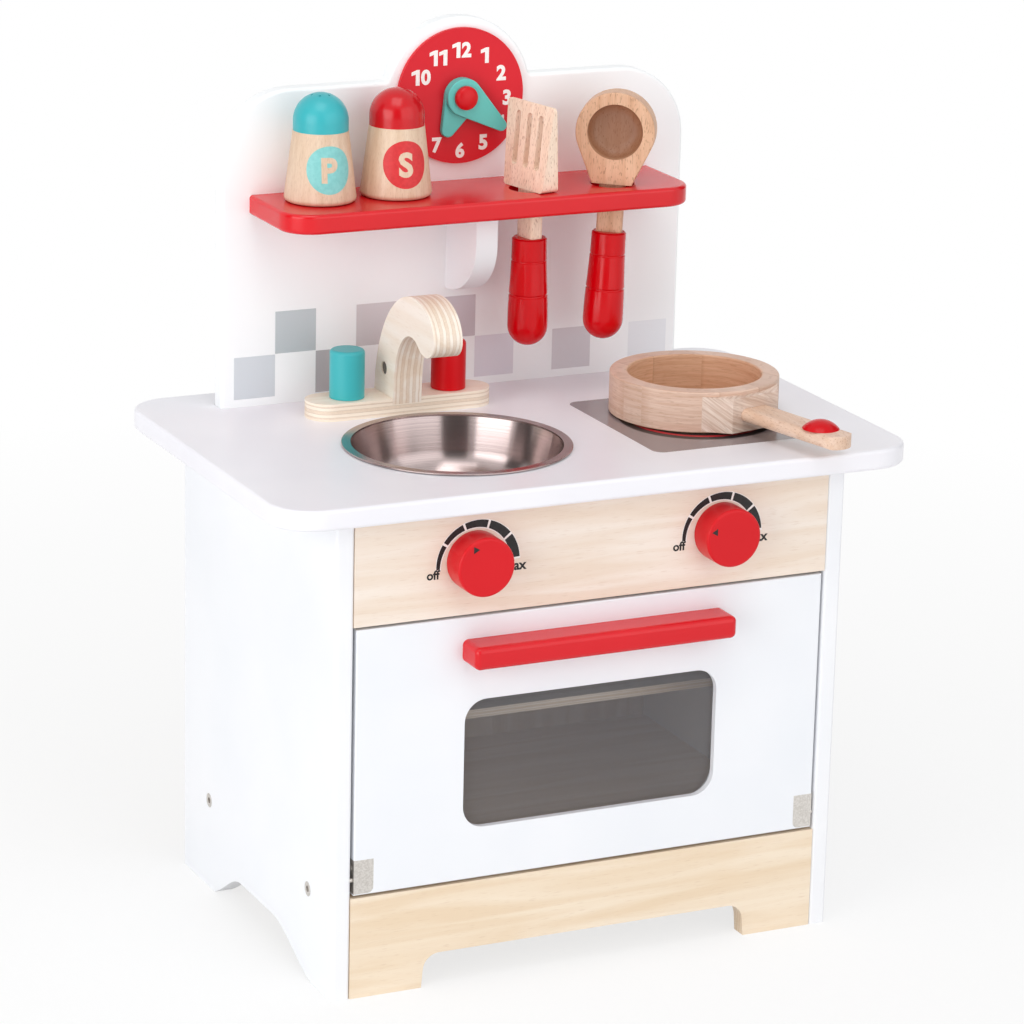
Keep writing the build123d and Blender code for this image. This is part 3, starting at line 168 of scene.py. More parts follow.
def plywood(name, thick_axis, grain_axis, node, plies, face, figure, glue="#A98762", contrast=0.5):
    """Birch plywood whose plies lie across one axis, between a node's two faces."""
    low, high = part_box(node)
    material, tree, place = new_material(name)
    parts = [  # millimetres across and along the grain
        ("bands", 13, 170, {"Detail": 3.0, "Roughness": 0.45, "Distortion": 0.9}),
        ("pores", 0.7, 9, {"Detail": 1.0}), ("wander", 9, 60, {"Detail": 1.0}),
    ]
    grain = wood_grain(tree, place, grain_axis, parts)
    specks = add(
        tree, "ShaderNodeTexNoise", {"Vector": place, "Scale": 1 / (0.9 * mm), "Detail": 2.0}
    )

    share = add(
        tree, "ShaderNodeMapRange", {"Value": grain["bands"], "From Min": 0.36, "From Max": 0.64}
    )
    veneer = add(
        tree, "ShaderNodeMix", {0: share, 6: srgb(face), 7: srgb(figure)}, data_type="RGBA"
    )
    pore_share = add(
        tree, "ShaderNodeMapRange",
        {"Value": grain["pores"], "From Min": 0.60, "From Max": 0.80, "To Max": 0.22},
    )
    veneer = add(
        tree, "ShaderNodeMix", {0: pore_share, 6: veneer, 7: srgb("#B98F68")}, data_type="RGBA"
    )

    axes = add(tree, "ShaderNodeSeparateXYZ", {0: place})
    depth = add(
        tree, "ShaderNodeMapRange",
        {"Value": axes.outputs[thick_axis], "From Min": low[thick_axis],
         "From Max": high[thick_axis], "To Max": plies},
    )
    shift = add(
        tree, "ShaderNodeMapRange", {"Value": grain["wander"], "To Min": -0.25, "To Max": 0.25}
    )
    ply = add(tree, "ShaderNodeMath", {0: depth, 1: shift}, operation="ADD")
    face_ply = 0.6  # the face veneers are thinner, and keep their own colour
    inner_low = add(tree, "ShaderNodeMath", {0: ply, 1: face_ply}, operation="GREATER_THAN")
    inner_high = add(tree, "ShaderNodeMath", {0: ply, 1: plies - face_ply}, operation="LESS_THAN")
    inner = add(tree, "ShaderNodeMath", {0: inner_low, 1: inner_high}, operation="MULTIPLY")
    pair = add(tree, "ShaderNodeMath", {0: ply, 1: 2.0}, operation="MODULO")
    crossed = add(tree, "ShaderNodeMath", {0: pair, 1: 1.0}, operation="LESS_THAN")
    crossed = add(tree, "ShaderNodeMath", {0: crossed, 1: inner}, operation="MULTIPLY")
    crossed = add(tree, "ShaderNodeMath", {0: crossed, 1: contrast}, operation="MULTIPLY")
    end_share = add(
        tree, "ShaderNodeMapRange", {"Value": specks, "From Min": 0.35, "From Max": 0.65}
    )
    ends = add(
        tree, "ShaderNodeMix", {0: end_share, 6: srgb("#DDBE9C"), 7: srgb("#C29F7B")},
        data_type="RGBA",
    )
    layered = add(tree, "ShaderNodeMix", {0: crossed, 6: veneer, 7: ends}, data_type="RGBA")
    line = add(tree, "ShaderNodeMath", {0: ply}, operation="FRACT")
    glue_line = 0.12  # of a ply
    line = add(tree, "ShaderNodeMath", {0: line, 1: glue_line}, operation="LESS_THAN")
    line = add(tree, "ShaderNodeMath", {0: line, 1: inner}, operation="MULTIPLY")
    line = add(tree, "ShaderNodeMath", {0: line, 1: contrast}, operation="MULTIPLY")
    tint = add(tree, "ShaderNodeMix", {0: line, 6: layered, 7: srgb(glue)}, data_type="RGBA")
    bump = add(
        tree, "ShaderNodeBump",
        {"Height": grain["pores"], "Strength": 0.15, "Distance": 0.1 * mm},
    )
    shader = add(
        tree, "ShaderNodeBsdfPrincipled", {"Base Color": tint, "Roughness": 0.42, "Normal": bump}
    )
    add(tree, "ShaderNodeOutputMaterial", {"Surface": shader})
    return material


dress(plywood("lacquered birch ply, control panel", Y, X, "control_panel", 9, "#F3E7DB", "#EBD9C7"),
      "control_panel")
dress(plywood("lacquered birch ply, plinth", Y, X, "plinth_panel", 9, "#F1E1CB", "#E8D2B5"),
      "plinth_panel")
dress(plywood("birch ply, oven floor", Z, X, "oven_floor", 9, "#F0E0CA", "#E7D1B4"), "oven_floor")
dress(plywood("birch ply, oven shelf", Z, X, "oven_shelf", 5, "#F2E3D0", "#E9D5BB"), "oven_shelf")
dress(plywood("birch ply, back", Y, Z, "back_panel", 3, "#F0E0CA", "#E7D1B4"), "back_panel")


# Knob scales
# Printed on the bare birch round each knob: five black segments that grow from off to max,
# on a white ground that shows between them, and a word at each end.
def new_object(name, mesh, material):
    """An object at the origin, with its place in its mesh."""
    made = bpy.data.objects.new(name, mesh)
    bpy.context.scene.collection.objects.link(made)
    made.data.materials.clear()
    made.data.materials.append(material)
    return made


def geometry_tree(name, sizes):
    """An empty node group for geometry, with a named input for each size."""
    group = bpy.data.node_groups.new(name, "GeometryNodeTree")
    for label, value in sizes.items():
        kind = "NodeSocketInt" if isinstance(value, int) else "NodeSocketFloat"
        group.interface.new_socket(label, in_out="INPUT", socket_type=kind)
    group.interface.new_socket("Material", in_out="INPUT", socket_type="NodeSocketMaterial")
    group.interface.new_socket("Geometry", in_out="OUTPUT", socket_type="NodeSocketGeometry")
    return group, add(group, "NodeGroupInput").outputs


def grown(name, group, sizes, material, place):
    """The plain mesh that a geometry tree makes at these sizes, put in its place."""
    seed = bpy.data.objects.new(name + "_seed", bpy.data.meshes.new(name + "_seed"))
    bpy.context.scene.collection.objects.link(seed)
    modifier = seed.modifiers.new("grow", "NODES")
    modifier.node_group = group
    given = {**sizes, "Material": material}
    for item in group.interface.items_tree:
        if item.in_out == "INPUT" and item.name in given:
            modifier[item.identifier] = given[item.name]
    evaluated = seed.evaluated_get(bpy.context.evaluated_depsgraph_get())
    mesh = bpy.data.meshes.new_from_object(evaluated)
    bpy.data.objects.remove(seed)
    mesh.transform(place)
    mesh.name = name
    return new_object(name, mesh, material)


def facing_front(x, y, z):
    """A place on a front face: drawn x stays X, drawn y becomes Z, and the print faces -Y."""
    return Matrix.Translation((x, y, z)) @ Matrix.Rotation(pi / 2, 4, "X")


def scale_tree(sizes):
    """Segments of a ring between two angles, whose inner radius shrinks on the way."""
    tree, given = geometry_tree("knob scale", sizes)
    points = add(tree, "GeometryNodePoints", {"Count": given["Segments"]})
    numbered = add(
        tree, "GeometryNodeStoreNamedAttribute",
        {"Geometry": points, "Name": "segment", "Value": add(tree, "GeometryNodeInputIndex")},
        data_type="FLOAT", domain="POINT",
    )
    strip = add(
        tree, "GeometryNodeMeshGrid",
        {"Size X": 1.0, "Size Y": 1.0, "Vertices X": 13, "Vertices Y": 2},
    )
    strips = add(tree, "GeometryNodeInstanceOnPoints", {"Points": numbered, "Instance": strip})
    real = add(tree, "GeometryNodeRealizeInstances", {0: strips})
    local = add(tree, "ShaderNodeSeparateXYZ", {0: add(tree, "GeometryNodeInputPosition")})
    segment = add(
        tree, "GeometryNodeInputNamedAttribute", {"Name": "segment"}, data_type="FLOAT"
    )
    kept = add(tree, "ShaderNodeMath", {0: 1.0, 1: given["Gap share"]}, operation="SUBTRACT")
    along = add(tree, "ShaderNodeMath", {0: local.outputs[0], 1: kept}, operation="MULTIPLY")
    middle = add(tree, "ShaderNodeMath", {0: segment, 1: 0.5}, operation="ADD")
    along = add(tree, "ShaderNodeMath", {0: along, 1: middle}, operation="ADD")
    share = add(tree, "ShaderNodeMath", {0: along, 1: given["Segments"]}, operation="DIVIDE")
    angle = add(
        tree, "ShaderNodeMapRange",
        {"Value": share, "To Min": given["First angle"], "To Max": given["Last angle"]},
        clamp=False,
    )
    inner = add(
        tree, "ShaderNodeMapRange",
        {"Value": share, "To Min": given["Inner radius at off"],
         "To Max": given["Inner radius at max"]},
        clamp=False,
    )
    radius = add(
        tree, "ShaderNodeMapRange",
        {"Value": local.outputs[1], "From Min": -0.5, "From Max": 0.5, "To Min": inner,
         "To Max": given["Outer radius"]},
        clamp=False,
    )
    turn = add(tree, "ShaderNodeMath", {0: angle}, operation="RADIANS")
    level = add(tree, "ShaderNodeMath", {0: turn}, operation="COSINE")
    level = add(tree, "ShaderNodeMath", {0: radius, 1: level}, operation="MULTIPLY")
    rise = add(tree, "ShaderNodeMath", {0: turn}, operation="SINE")
    rise = add(tree, "ShaderNodeMath", {0: radius, 1: rise}, operation="MULTIPLY")
    place = add(tree, "ShaderNodeCombineXYZ", {0: level, 1: rise})
    bent = add(tree, "GeometryNodeSetPosition", {"Geometry": real, "Position": place})
    inked = add(
        tree, "GeometryNodeSetMaterial", {"Geometry": bent, "Material": given["Material"]}
    )
    add(tree, "NodeGroupOutput", {0: inked})
    return tree


def ink(name, colour, shade, roughness=0.5):
    """Screen-printed ink, a thin even film whose tone varies a little with its thickness."""
    material, tree, place = new_material(name)
    film_noise = add(
        tree, "ShaderNodeTexNoise", {"Vector": place, "Scale": 1 / (2.5 * mm), "Detail": 2.0}
    )
    share = add(
        tree, "ShaderNodeMapRange", {"Value": film_noise, "From Min": 0.35, "From Max": 0.65}
    )
    tint = add(
        tree, "ShaderNodeMix", {0: share, 6: srgb(colour), 7: srgb(shade)}, data_type="RGBA"
    )
    bump = add(
        tree, "ShaderNodeBump", {"Height": film_noise, "Strength": 0.05, "Distance": 0.05 * mm}
    )
    shader = add(
        tree, "ShaderNodeBsdfPrincipled",
        {"Base Color": tint, "Roughness": roughness, "Normal": bump, "Specular IOR Level": 0.4},
    )
    add(tree, "ShaderNodeOutputMaterial", {"Surface": shader})
    return material


def lettering(text, height, bolder):
    """Words as a flat mesh, centred, whose tallest letter has the height given."""
    curve = bpy.data.curves.new(text, "FONT")
    curve.body = text
    curve.offset = bolder
    curve.resolution_u = 4
    written = bpy.data.objects.new(text, curve)
    bpy.context.scene.collection.objects.link(written)
    evaluated = written.evaluated_get(bpy.context.evaluated_depsgraph_get())
    mesh = bpy.data.meshes.new_from_object(evaluated)
    bpy.data.objects.remove(written)
    low = Vector([min(v.co[i] for v in mesh.vertices) for i in range(3)])
    high = Vector([max(v.co[i] for v in mesh.vertices) for i in range(3)])
    size = height / (high.y - low.y)
    mesh.transform(Matrix.Scale(size, 4) @ Matrix.Translation(-(low + high) / 2))
    return mesh


black_ink = ink("black screen print", "#1B191A", "#252223")
white_ink = ink("white screen print", "#FBF8F5", "#F5F1ED")
film = 0.05 * mm
scale_drop = 2.9 * mm  # the arcs' centre, below the knobs' axles
scale_sizes = {
    "Segments": 5, "Gap share": 0.09, "First angle": 184.0, "Last angle": 2.0,
    "Inner radius at off": 27.2 * mm, "Inner radius at max": 22.5 * mm,
    "Outer radius": 29.7 * mm,
}
ground_sizes = {
    **scale_sizes, "Segments": 1, "Gap share": -0.012,
    "Inner radius at off": 26.6 * mm, "Inner radius at max": 21.9 * mm,
    "Outer radius": 30.3 * mm,
}
panel_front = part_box("control_panel")[0].y
scale = scale_tree(scale_sizes)
words = [("off", -31.6, -4.4, 6.4), ("max", 26.8, -5.0, 4.9)]  # across, up, height in mm
for side, scale_shift in (("left", 2.4 * mm), ("right", 0.8 * mm)):
    low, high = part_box("knob_" + side)
    knob_x, knob_z = (low.x + high.x) / 2, (low.z + high.z) / 2
    scale_x = knob_x + scale_shift
    centre = facing_front(scale_x, panel_front - film, knob_z - scale_drop)
    on_top = facing_front(scale_x, panel_front - 2 * film, knob_z - scale_drop)
    prints = [
        grown("scale_ground_" + side, scale, ground_sizes, white_ink, centre),
        grown("scale_segments_" + side, scale, scale_sizes, black_ink, on_top),
    ]
    for word, across, up, height in words:
        mesh = lettering(word, height * mm, 0.03)
        mesh.transform(on_top @ Matrix.Translation((across * mm, up * mm, 0)))
        prints.append(new_object(f"scale_{word}_{side}", mesh, black_ink))
    for piece in prints:
        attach(piece, "cabinet")

# Knobs
# Turned hardwood, dipped in red enamel, so that the grain still shows in the coat.
# A black triangle printed on the flat face points to the scale.
red_enamel = enamel("red enamel on turned wood", "#D50B19", "#CB0815", 0.34, 0.3, X)
dress(red_enamel, "knob_left", "knob_right")
pointer_radius = 15.2 * mm  # of the triangle's middle, from the axle
pointer_size = 2.9 * mm
for side, place_angle, corner_angle in (("left", 123, 0), ("right", 158, 60)):
    low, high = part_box("knob_" + side)
    across = pointer_radius * cos(radians(place_angle))
    up = pointer_radius * sin(radians(place_angle))
    corners = [
        (across + pointer_size * cos(radians(turn)), up + pointer_size * sin(radians(turn)), 0)
        for turn in (corner_angle, corner_angle + 120, corner_angle + 240)
    ]
    mesh = bpy.data.meshes.new("pointer")
    mesh.from_pydata(corners, [], [(0, 1, 2)])
    mesh.transform(facing_front((low.x + high.x) / 2, low.y - film, (low.z + high.z) / 2))
    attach(new_object("pointer_" + side, mesh, black_ink), "knob_" + side)

# Oven door, its handle and the wall shelf
# White board like the sides, and red boards with rounded edges, their paint thick and glossy.
# The grain of the red boards runs their length.
door_enamel = enamel("satin white enamel, door", "#F1F3F7", "#ECEFF4", 0.36)
dress(door_enamel, "door_panel")
red_bar_enamel = enamel("red enamel on the handle", "#D80F1D", "#CE0C19", 0.24, 0.4, X)
dress(red_bar_enamel, "door_handle")
red_shelf_enamel = enamel("red enamel on the shelf", "#DA0A19", "#D00715", 0.17, 0.45, X)
dress(red_shelf_enamel, "wall_shelf")

# Window pane
# Smoked acrylic sheet, 3 mm, laser-cut and glued behind the window.
# It shows the oven dimly and has a clean reflection.
pane_smoke, tree, place = new_material("smoked cast acrylic")
haze = add(tree, "ShaderNodeTexNoise", {"Vector": place, "Scale": 1 / (400 * mm), "Detail": 0.0})
pane_tint = add(
    tree, "ShaderNodeMix", {0: haze, 6: srgb("#94949A"), 7: srgb("#8C8C92")}, data_type="RGBA"
)
pane_shader = add(
    tree, "ShaderNodeBsdfPrincipled",
    {"Base Color": pane_tint, "Roughness": 0.05, "Alpha": 0.2, "IOR": 1.49},
)
add(tree, "ShaderNodeOutputMaterial", {"Surface": pane_shader})
dress(pane_smoke, "window_pane")


# Hinge plates, screws and bolts
# Bright zinc plating on pressed steel, a fine grey spangle with no grain direction.
# The plates are let into the door's corners and the bolts' heads into the sides.
def metal(name, colour, shade, roughness, grain_size):
    """Plated or cast metal with a fine spangle."""
    material, tree, place = new_material(name)
    spangle = add(
        tree, "ShaderNodeTexNoise", {"Vector": place, "Scale": 1 / grain_size, "Detail": 4.0}
    )
    share = add(tree, "ShaderNodeMapRange", {"Value": spangle, "From Min": 0.35, "From Max": 0.65})
    tint = add(
        tree, "ShaderNodeMix", {0: share, 6: srgb(colour), 7: srgb(shade)}, data_type="RGBA"
    )
    rough = add(
        tree, "ShaderNodeMapRange",
        {"Value": spangle, "To Min": roughness - 0.08, "To Max": roughness + 0.08},
    )
    bump = add(tree, "ShaderNodeBump", {"Height": spangle, "Strength": 0.1, "Distance": 0.05 * mm})
    shader = add(
        tree, "ShaderNodeBsdfPrincipled",
        {"Base Color": tint, "Metallic": 1.0, "Roughness": rough, "Normal": bump},
    )
    add(tree, "ShaderNodeOutputMaterial", {"Surface": shader})
    return material


zinc = metal("bright zinc plate", "#DEDAD5", "#CBC6C0", 0.42, 1.2 * mm)
dress(
    zinc, "hinge_plate_left", "hinge_plate_right", "plate_screws", "handle_screws", "hinge_pins",
    "cabinet_bolts", "barrel_nuts", "splash_screws", "shelf_screws", "clock_axle", "faucet_bolt",
    "tap_axles", "knob_axles", "shelf_pins", "strike_plate",
)
dress(metal("dull zinc plate", "#8C867E", "#7A746C", 0.5, 1.2 * mm), "faucet_nut")
catch_plastic = enamel("moulded white plastic", "#E6E6E4", "#DEDEDC", 0.5)
dress(catch_plastic, "magnet_catch")


# Tile print
# Two rows of pale grey squares printed on the backsplash like a tiled wall, every second tile
# left white. The greys differ a little from tile to tile, and each fades towards its foot.
def tile_tree(sizes):
    """A row of squares that skips every second place, each carrying its number."""
    tree, given = geometry_tree("tile row", sizes)
    points = add(tree, "GeometryNodePoints", {"Count": given["Tiles"]})
    number = add(tree, "GeometryNodeInputIndex")
    column = add(
        tree, "ShaderNodeMath", {0: number, 1: 2.0, 2: given["First column"]},
        operation="MULTIPLY_ADD",
    )
    middle = add(tree, "ShaderNodeMath", {0: column, 1: 0.5}, operation="ADD")
    across = add(
        tree, "ShaderNodeMath", {0: middle, 1: given["Tile width"]}, operation="MULTIPLY"
    )
    up = add(tree, "ShaderNodeMath", {0: given["Tile height"], 1: 0.5}, operation="MULTIPLY")
    placed = add(
        tree, "GeometryNodeSetPosition",
        {"Geometry": points, "Position": add(tree, "ShaderNodeCombineXYZ", {0: across, 1: up})},
    )
    numbered = add(
        tree, "GeometryNodeStoreNamedAttribute",
        {"Geometry": placed, "Name": "tile", "Value": number}, data_type="FLOAT", domain="POINT",
    )
    square = add(
        tree, "GeometryNodeMeshGrid",
        {"Size X": given["Tile width"], "Size Y": given["Tile height"], "Vertices X": 2,
         "Vertices Y": 2},
    )
    squares = add(tree, "GeometryNodeInstanceOnPoints", {"Points": numbered, "Instance": square})
    real = add(tree, "GeometryNodeRealizeInstances", {0: squares})
    inked = add(
        tree, "GeometryNodeSetMaterial", {"Geometry": real, "Material": given["Material"]}
    )
    add(tree, "NodeGroupOutput", {0: inked})
    return tree


tile_left = -164.75 * mm  # the left side of the first tile
tile_foot = 5.43 * mm  # above the countertop
tile_line = 0.45 * mm  # the white joint between the two rows
tile_width, tile_height = 30.07 * mm, 29.55 * mm
splash_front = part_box("backsplash")[0].y
top_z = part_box("hob_plate")[1].z
row_sizes = {
    "Tiles": 6, "First column": 0.0, "Tile width": tile_width, "Tile height": tile_height,
}
tile_row = tile_tree(row_sizes)
tile_rows = [  # the row, its tiles' tones from left to right, and how dark their foot is
    (0, ["#D3D8DE", "#B9B6B9", "#FCFEFF", "#E4E0E8", "#DAD7DC", "#EFF2F6"], 0.97),
    (1, ["#C4CCD0", "#D8D3D6", "#D5CDD3"], 0.93),
]
for row, tones, fade in tile_rows:
    material, tree, place = new_material(f"pale grey tile print, row {row}")
    tile_number = add(tree, "ShaderNodeAttribute", attribute_name="tile").outputs["Fac"]
    tint = srgb(tones[0])
    for number in range(1, len(tones)):
        later = add(
            tree, "ShaderNodeMath", {0: tile_number, 1: number - 0.5}, operation="GREATER_THAN"
        )
        tint = add(
            tree, "ShaderNodeMix", {0: later, 6: tint, 7: srgb(tones[number])}, data_type="RGBA"
        )
    foot_z = top_z + tile_foot + row * (tile_height + tile_line)
    up = add(
        tree, "ShaderNodeMapRange",
        {"Value": add(tree, "ShaderNodeSeparateXYZ", {0: place}).outputs[2], "From Min": foot_z,
         "From Max": foot_z + tile_height, "To Min": fade, "To Max": 1.0},
    )
    tint = add(tree, "ShaderNodeHueSaturation", {"Color": tint, "Value": up})
    shader = add(tree, "ShaderNodeBsdfPrincipled", {"Base Color": tint, "Roughness": 0.4})
    add(tree, "ShaderNodeOutputMaterial", {"Surface": shader})
    row_place = facing_front(tile_left, splash_front - film, foot_z)
    sizes = {**row_sizes, "Tiles": len(tones), "First column": float(row)}
    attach(grown(f"tiles_{row}", tile_row, sizes, material, row_place), "cabinet")

# Clock
# A red disc of thin board with bold white numerals, two teal hands cut from plywood, and a red
# domed button. The hands turn stiffly on one pin.
dial_enamel = enamel("red enamel on thin board", "#DC1B2B", "#D21626", 0.42, 0.3)
dress(dial_enamel, "clock_dial")
dress(red_enamel, "clock_hub")
teal_enamel = enamel("teal enamel on plywood", "#68CBC3", "#5FC2BB", 0.4, 0.4, Z)
dress(teal_enamel, "hour_hand", "minute_hand")
dial_low, dial_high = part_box("clock_dial")
dial_x, dial_z = (dial_low.x + dial_high.x) / 2, (dial_low.z + dial_high.z) / 2
numeral_drop = 3.1 * mm  # the ring of numerals sits a little low on the disc
numeral_radius = 34.8 * mm
numeral_height = 10.8 * mm
digit_gap = 1.0 * mm
numeral_bolder = 0.045
flagged_one = [  # the 1 with its flag, as shares of the height
    (0.30, 0.0), (0.57, 0.0), (0.57, 1.0), (0.37, 1.0), (0.0, 0.86), (0.0, 0.63), (0.30, 0.72)
]
for hour in range(1, 13):
    placed, reach = [], 0.0
    for digit in str(hour):
        if digit == "1":
            mesh = bpy.data.meshes.new("one")
            outline = [(x * numeral_height, (y - 0.5) * numeral_height, 0) for x, y in flagged_one]
            mesh.from_pydata(outline, [], [tuple(range(len(outline)))])
        else:
            mesh = lettering(digit, numeral_height, numeral_bolder)
        left = min(v.co.x for v in mesh.vertices)
        mesh.transform(Matrix.Translation((reach - left, 0, 0)))
        reach = max(v.co.x for v in mesh.vertices) + digit_gap
        placed.append(mesh)
    turn = radians(30 * hour)
    across = numeral_radius * sin(turn) - (reach - digit_gap) / 2
    place = Matrix.Translation((across, numeral_radius * cos(turn), 0))
    for number, mesh in enumerate(placed):
        mesh.transform(facing_front(dial_x, dial_low.y - film, dial_z - numeral_drop) @ place)
        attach(new_object(f"numeral_{hour}_{number}", mesh, white_ink), "cabinet")


# Shakers
# Turned beech cones with a domed cap, dipped in teal or red and glued in. A coloured disc is
# printed on each, with its letter left as bare wood.
def beech_ground(tree, grain, colours, shares):
    """The colour of beech: rings in the ground, then darker fibres, then short dark rays."""
    colour, figure, fleck = [srgb(code) for code in colours]
    ground = colour
    steps = [("rings", *shares["rings"], figure), ("fibres", 0.45, 0.8, shares["fibres"], fleck),
             ("rays", 0.66, 0.71, shares["rays"], fleck)]
    for part, low, high, most, darker in steps:
        share = add(
            tree, "ShaderNodeMapRange",
            {"Value": grain[part], "From Min": low, "From Max": high, "To Max": most},
        )
        ground = add(tree, "ShaderNodeMix", {0: share, 6: ground, 7: darker}, data_type="RGBA")
    return ground


def lacquered(material, tree, tint, fibres):
    """Finishes a beech material: its colour and the relief of its fibres under a thin lacquer."""
    bump = add(tree, "ShaderNodeBump", {"Height": fibres, "Strength": 0.15, "Distance": 0.1 * mm})
    shader = add(
        tree, "ShaderNodeBsdfPrincipled", {"Base Color": tint, "Roughness": 0.45, "Normal": bump}
    )
    add(tree, "ShaderNodeOutputMaterial", {"Surface": shader})
    return material


def beech(name, grain_axis, colour, figure, fleck, rays=0.6):
    """Clear-lacquered beech: an even pinkish ground with short dark rays along the grain."""
    material, tree, place = new_material(name)
    parts = [  # millimetres across and along the grain
        ("rings", 5, 80, {"Detail": 3.0, "Distortion": 0.4}),
        ("fibres", 0.6, 10, {"Detail": 2.0}), ("rays", 0.75, 3.2, {"Detail": 0.0}),
    ]
    grain = wood_grain(tree, place, grain_axis, parts)
    shares = {"rings": (0.33, 0.67, 1.0), "fibres": 0.25, "rays": rays}
    tint = beech_ground(tree, grain, (colour, figure, fleck), shares)
    return lacquered(material, tree, tint, grain["fibres"])


beech_upright = beech("lacquered beech, turned upright", Z, "#E2CAB2", "#D6B99D", "#B08868", 0.2)
dress(beech_upright, "pepper_body", "salt_body")
cap_teal = enamel("teal enamel on turned wood", "#3DB4BC", "#36ABB3", 0.32, 0.4, Z)
cap_red = enamel("red enamel on turned cap", "#C80614", "#BE0411", 0.22, 0.4, Z)
dress(cap_teal, "pepper_cap")
dress(cap_red, "salt_cap")
badge_teal = ink("teal badge print", "#86CBC9", "#7CC3C1", 0.45)
badge_red = ink("red badge print", "#D53336", "#CB2C30", 0.45)


def wrapped(flat, foot, shoulder, centre, rise, facing, lift):
    """Bends a flat print round a cone, and lifts it off the wood by its film."""
    foot_z, foot_radius = foot
    shoulder_z, shoulder_radius = shoulder
    slope = (shoulder_radius - foot_radius) / (shoulder_z - foot_z)
    sliced = bmesh.new()
    sliced.from_mesh(flat)
    across = [v.co.x for v in sliced.verts]
    steps = 24
    for step in range(1, steps):
        x = min(across) + (max(across) - min(across)) * step / steps
        parts = sliced.verts[:] + sliced.edges[:] + sliced.faces[:]
        bmesh.ops.bisect_plane(sliced, geom=parts, plane_co=(x, 0, 0), plane_no=(1, 0, 0))
    bmesh.ops.triangulate(sliced, faces=sliced.faces[:])
    for vert in sliced.verts:
        z = foot_z + rise + vert.co.y
        radius = foot_radius + slope * (z - foot_z) + lift
        turn = facing + vert.co.x / radius
        vert.co = Vector((centre.x + radius * cos(turn), centre.y + radius * sin(turn), z))
    mesh = bpy.data.meshes.new("print")
    sliced.to_mesh(mesh)
    sliced.free()
    return mesh


badge_radius = 16.0 * mm
badge_rise = 24.4 * mm  # its middle above the foot
badge_turn = radians(-96)
cone_foot, cone_neck = 24.8 * mm, 18.9 * mm  # the shakers' radius at the foot and the neck
letter_height, letter_bolder = 17.0 * mm, 0.04
for name, letter, badge in (("pepper", "P", badge_teal), ("salt", "S", badge_red)):
    low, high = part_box(name + "_body")
    centre = Vector(((low.x + high.x) / 2, (low.y + high.y) / 2, 0))
    foot, shoulder = (low.z, cone_foot), (high.z, cone_neck)
    disc = bmesh.new()
    bmesh.ops.create_circle(disc, cap_ends=True, segments=72, radius=badge_radius)
    flat = bpy.data.meshes.new("disc")
    disc.to_mesh(flat)
    disc.free()
    mesh = wrapped(flat, foot, shoulder, centre, badge_rise, badge_turn, film)
    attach(new_object(f"{name}_badge", mesh, badge), f"{name}_shaker")
    flat = lettering(letter, letter_height, letter_bolder)
    mesh = wrapped(flat, foot, shoulder, centre, badge_rise, badge_turn, 2 * film)
    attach(new_object(f"{name}_letter", mesh, beech_upright), f"{name}_shaker")

# Spatula and ladle
# Beech heads with their grain upright, glued into turned grips that are dipped in red gloss. The
# ladle's bowl has painted shade, a dark brown that deepens towards its floor, for the shadow in the
# hollow.
spatula_beech = beech("lacquered beech, spatula", Z, "#FCE6D1", "#F4D8C0", "#A97B5C", 0.5)
dress(spatula_beech, "spatula_blade")
ladle_beech = beech("lacquered beech, ladle", Z, "#DEB393", "#CF9F7D", "#8E6345", 0.5)
dress(ladle_beech, "ladle_head")


def recolour(material, share, colour, **settings):
    """Mixes a colour into what a finished material shows, by a share that differs over it."""
    tree = material.node_tree
    base = tree.nodes["Principled BSDF"].inputs["Base Color"]
    ground = base.links[0].from_socket
    mixed = add(
        tree, "ShaderNodeMix", {0: share, 6: ground, 7: colour}, data_type="RGBA", **settings
    )
    tree.links.new(mixed.outputs[2], base)


tree = ladle_beech.node_tree
ladle_turn = radians(-32)
ladle_out = Vector((sin(ladle_turn), -cos(ladle_turn), 0))  # the way the ladle's face looks
ladle_middle = Vector((98.1 * mm, 66.2 * mm, 528.7 * mm))  # of its round head
ladle_half = 10 * mm  # of its thickness
ladle_face = ladle_middle + ladle_half * ladle_out
lip, floor_depth, back_depth = 0.4 * mm, 7 * mm, 15 * mm  # behind the face
bowl_radius = 20.5 * mm
# Painted shade in the ladle's bowl: it darkens with depth towards the bowl's floor, up to this
# share.
bowl_painted_shade = 0.66
where = add(tree, "ShaderNodeTexCoord").outputs["Object"]
inward = add(tree, "ShaderNodeVectorMath", {0: where, 1: ladle_face}, operation="SUBTRACT")
depth = add(
    tree, "ShaderNodeVectorMath", {0: inward, 1: -ladle_out}, operation="DOT_PRODUCT"
).outputs["Value"]
sunk = add(
    tree, "ShaderNodeMapRange",
    {"Value": depth, "From Min": lip, "From Max": floor_depth, "To Max": bowl_painted_shade},
)
above_back = add(tree, "ShaderNodeMath", {0: depth, 1: back_depth}, operation="LESS_THAN")
off_axis = add(tree, "ShaderNodeVectorMath", {0: inward, 1: ladle_out}, operation="CROSS_PRODUCT")
off_axis = add(tree, "ShaderNodeVectorMath", {0: off_axis}, operation="LENGTH").outputs["Value"]
inside = add(tree, "ShaderNodeMath", {0: off_axis, 1: bowl_radius}, operation="LESS_THAN")
dark = add(tree, "ShaderNodeMath", {0: sunk, 1: above_back}, operation="MULTIPLY")
dark = add(tree, "ShaderNodeMath", {0: dark, 1: inside}, operation="MULTIPLY")
# The dark brown painted shade is mixed into the bowl.
recolour(ladle_beech, dark, srgb("#7A4322"))
grip_red = enamel("red gloss on turned grips", "#D60310", "#CC020D", 0.13, 0.25, Z)
dress(grip_red, "spatula_handle", "ladle_handle")

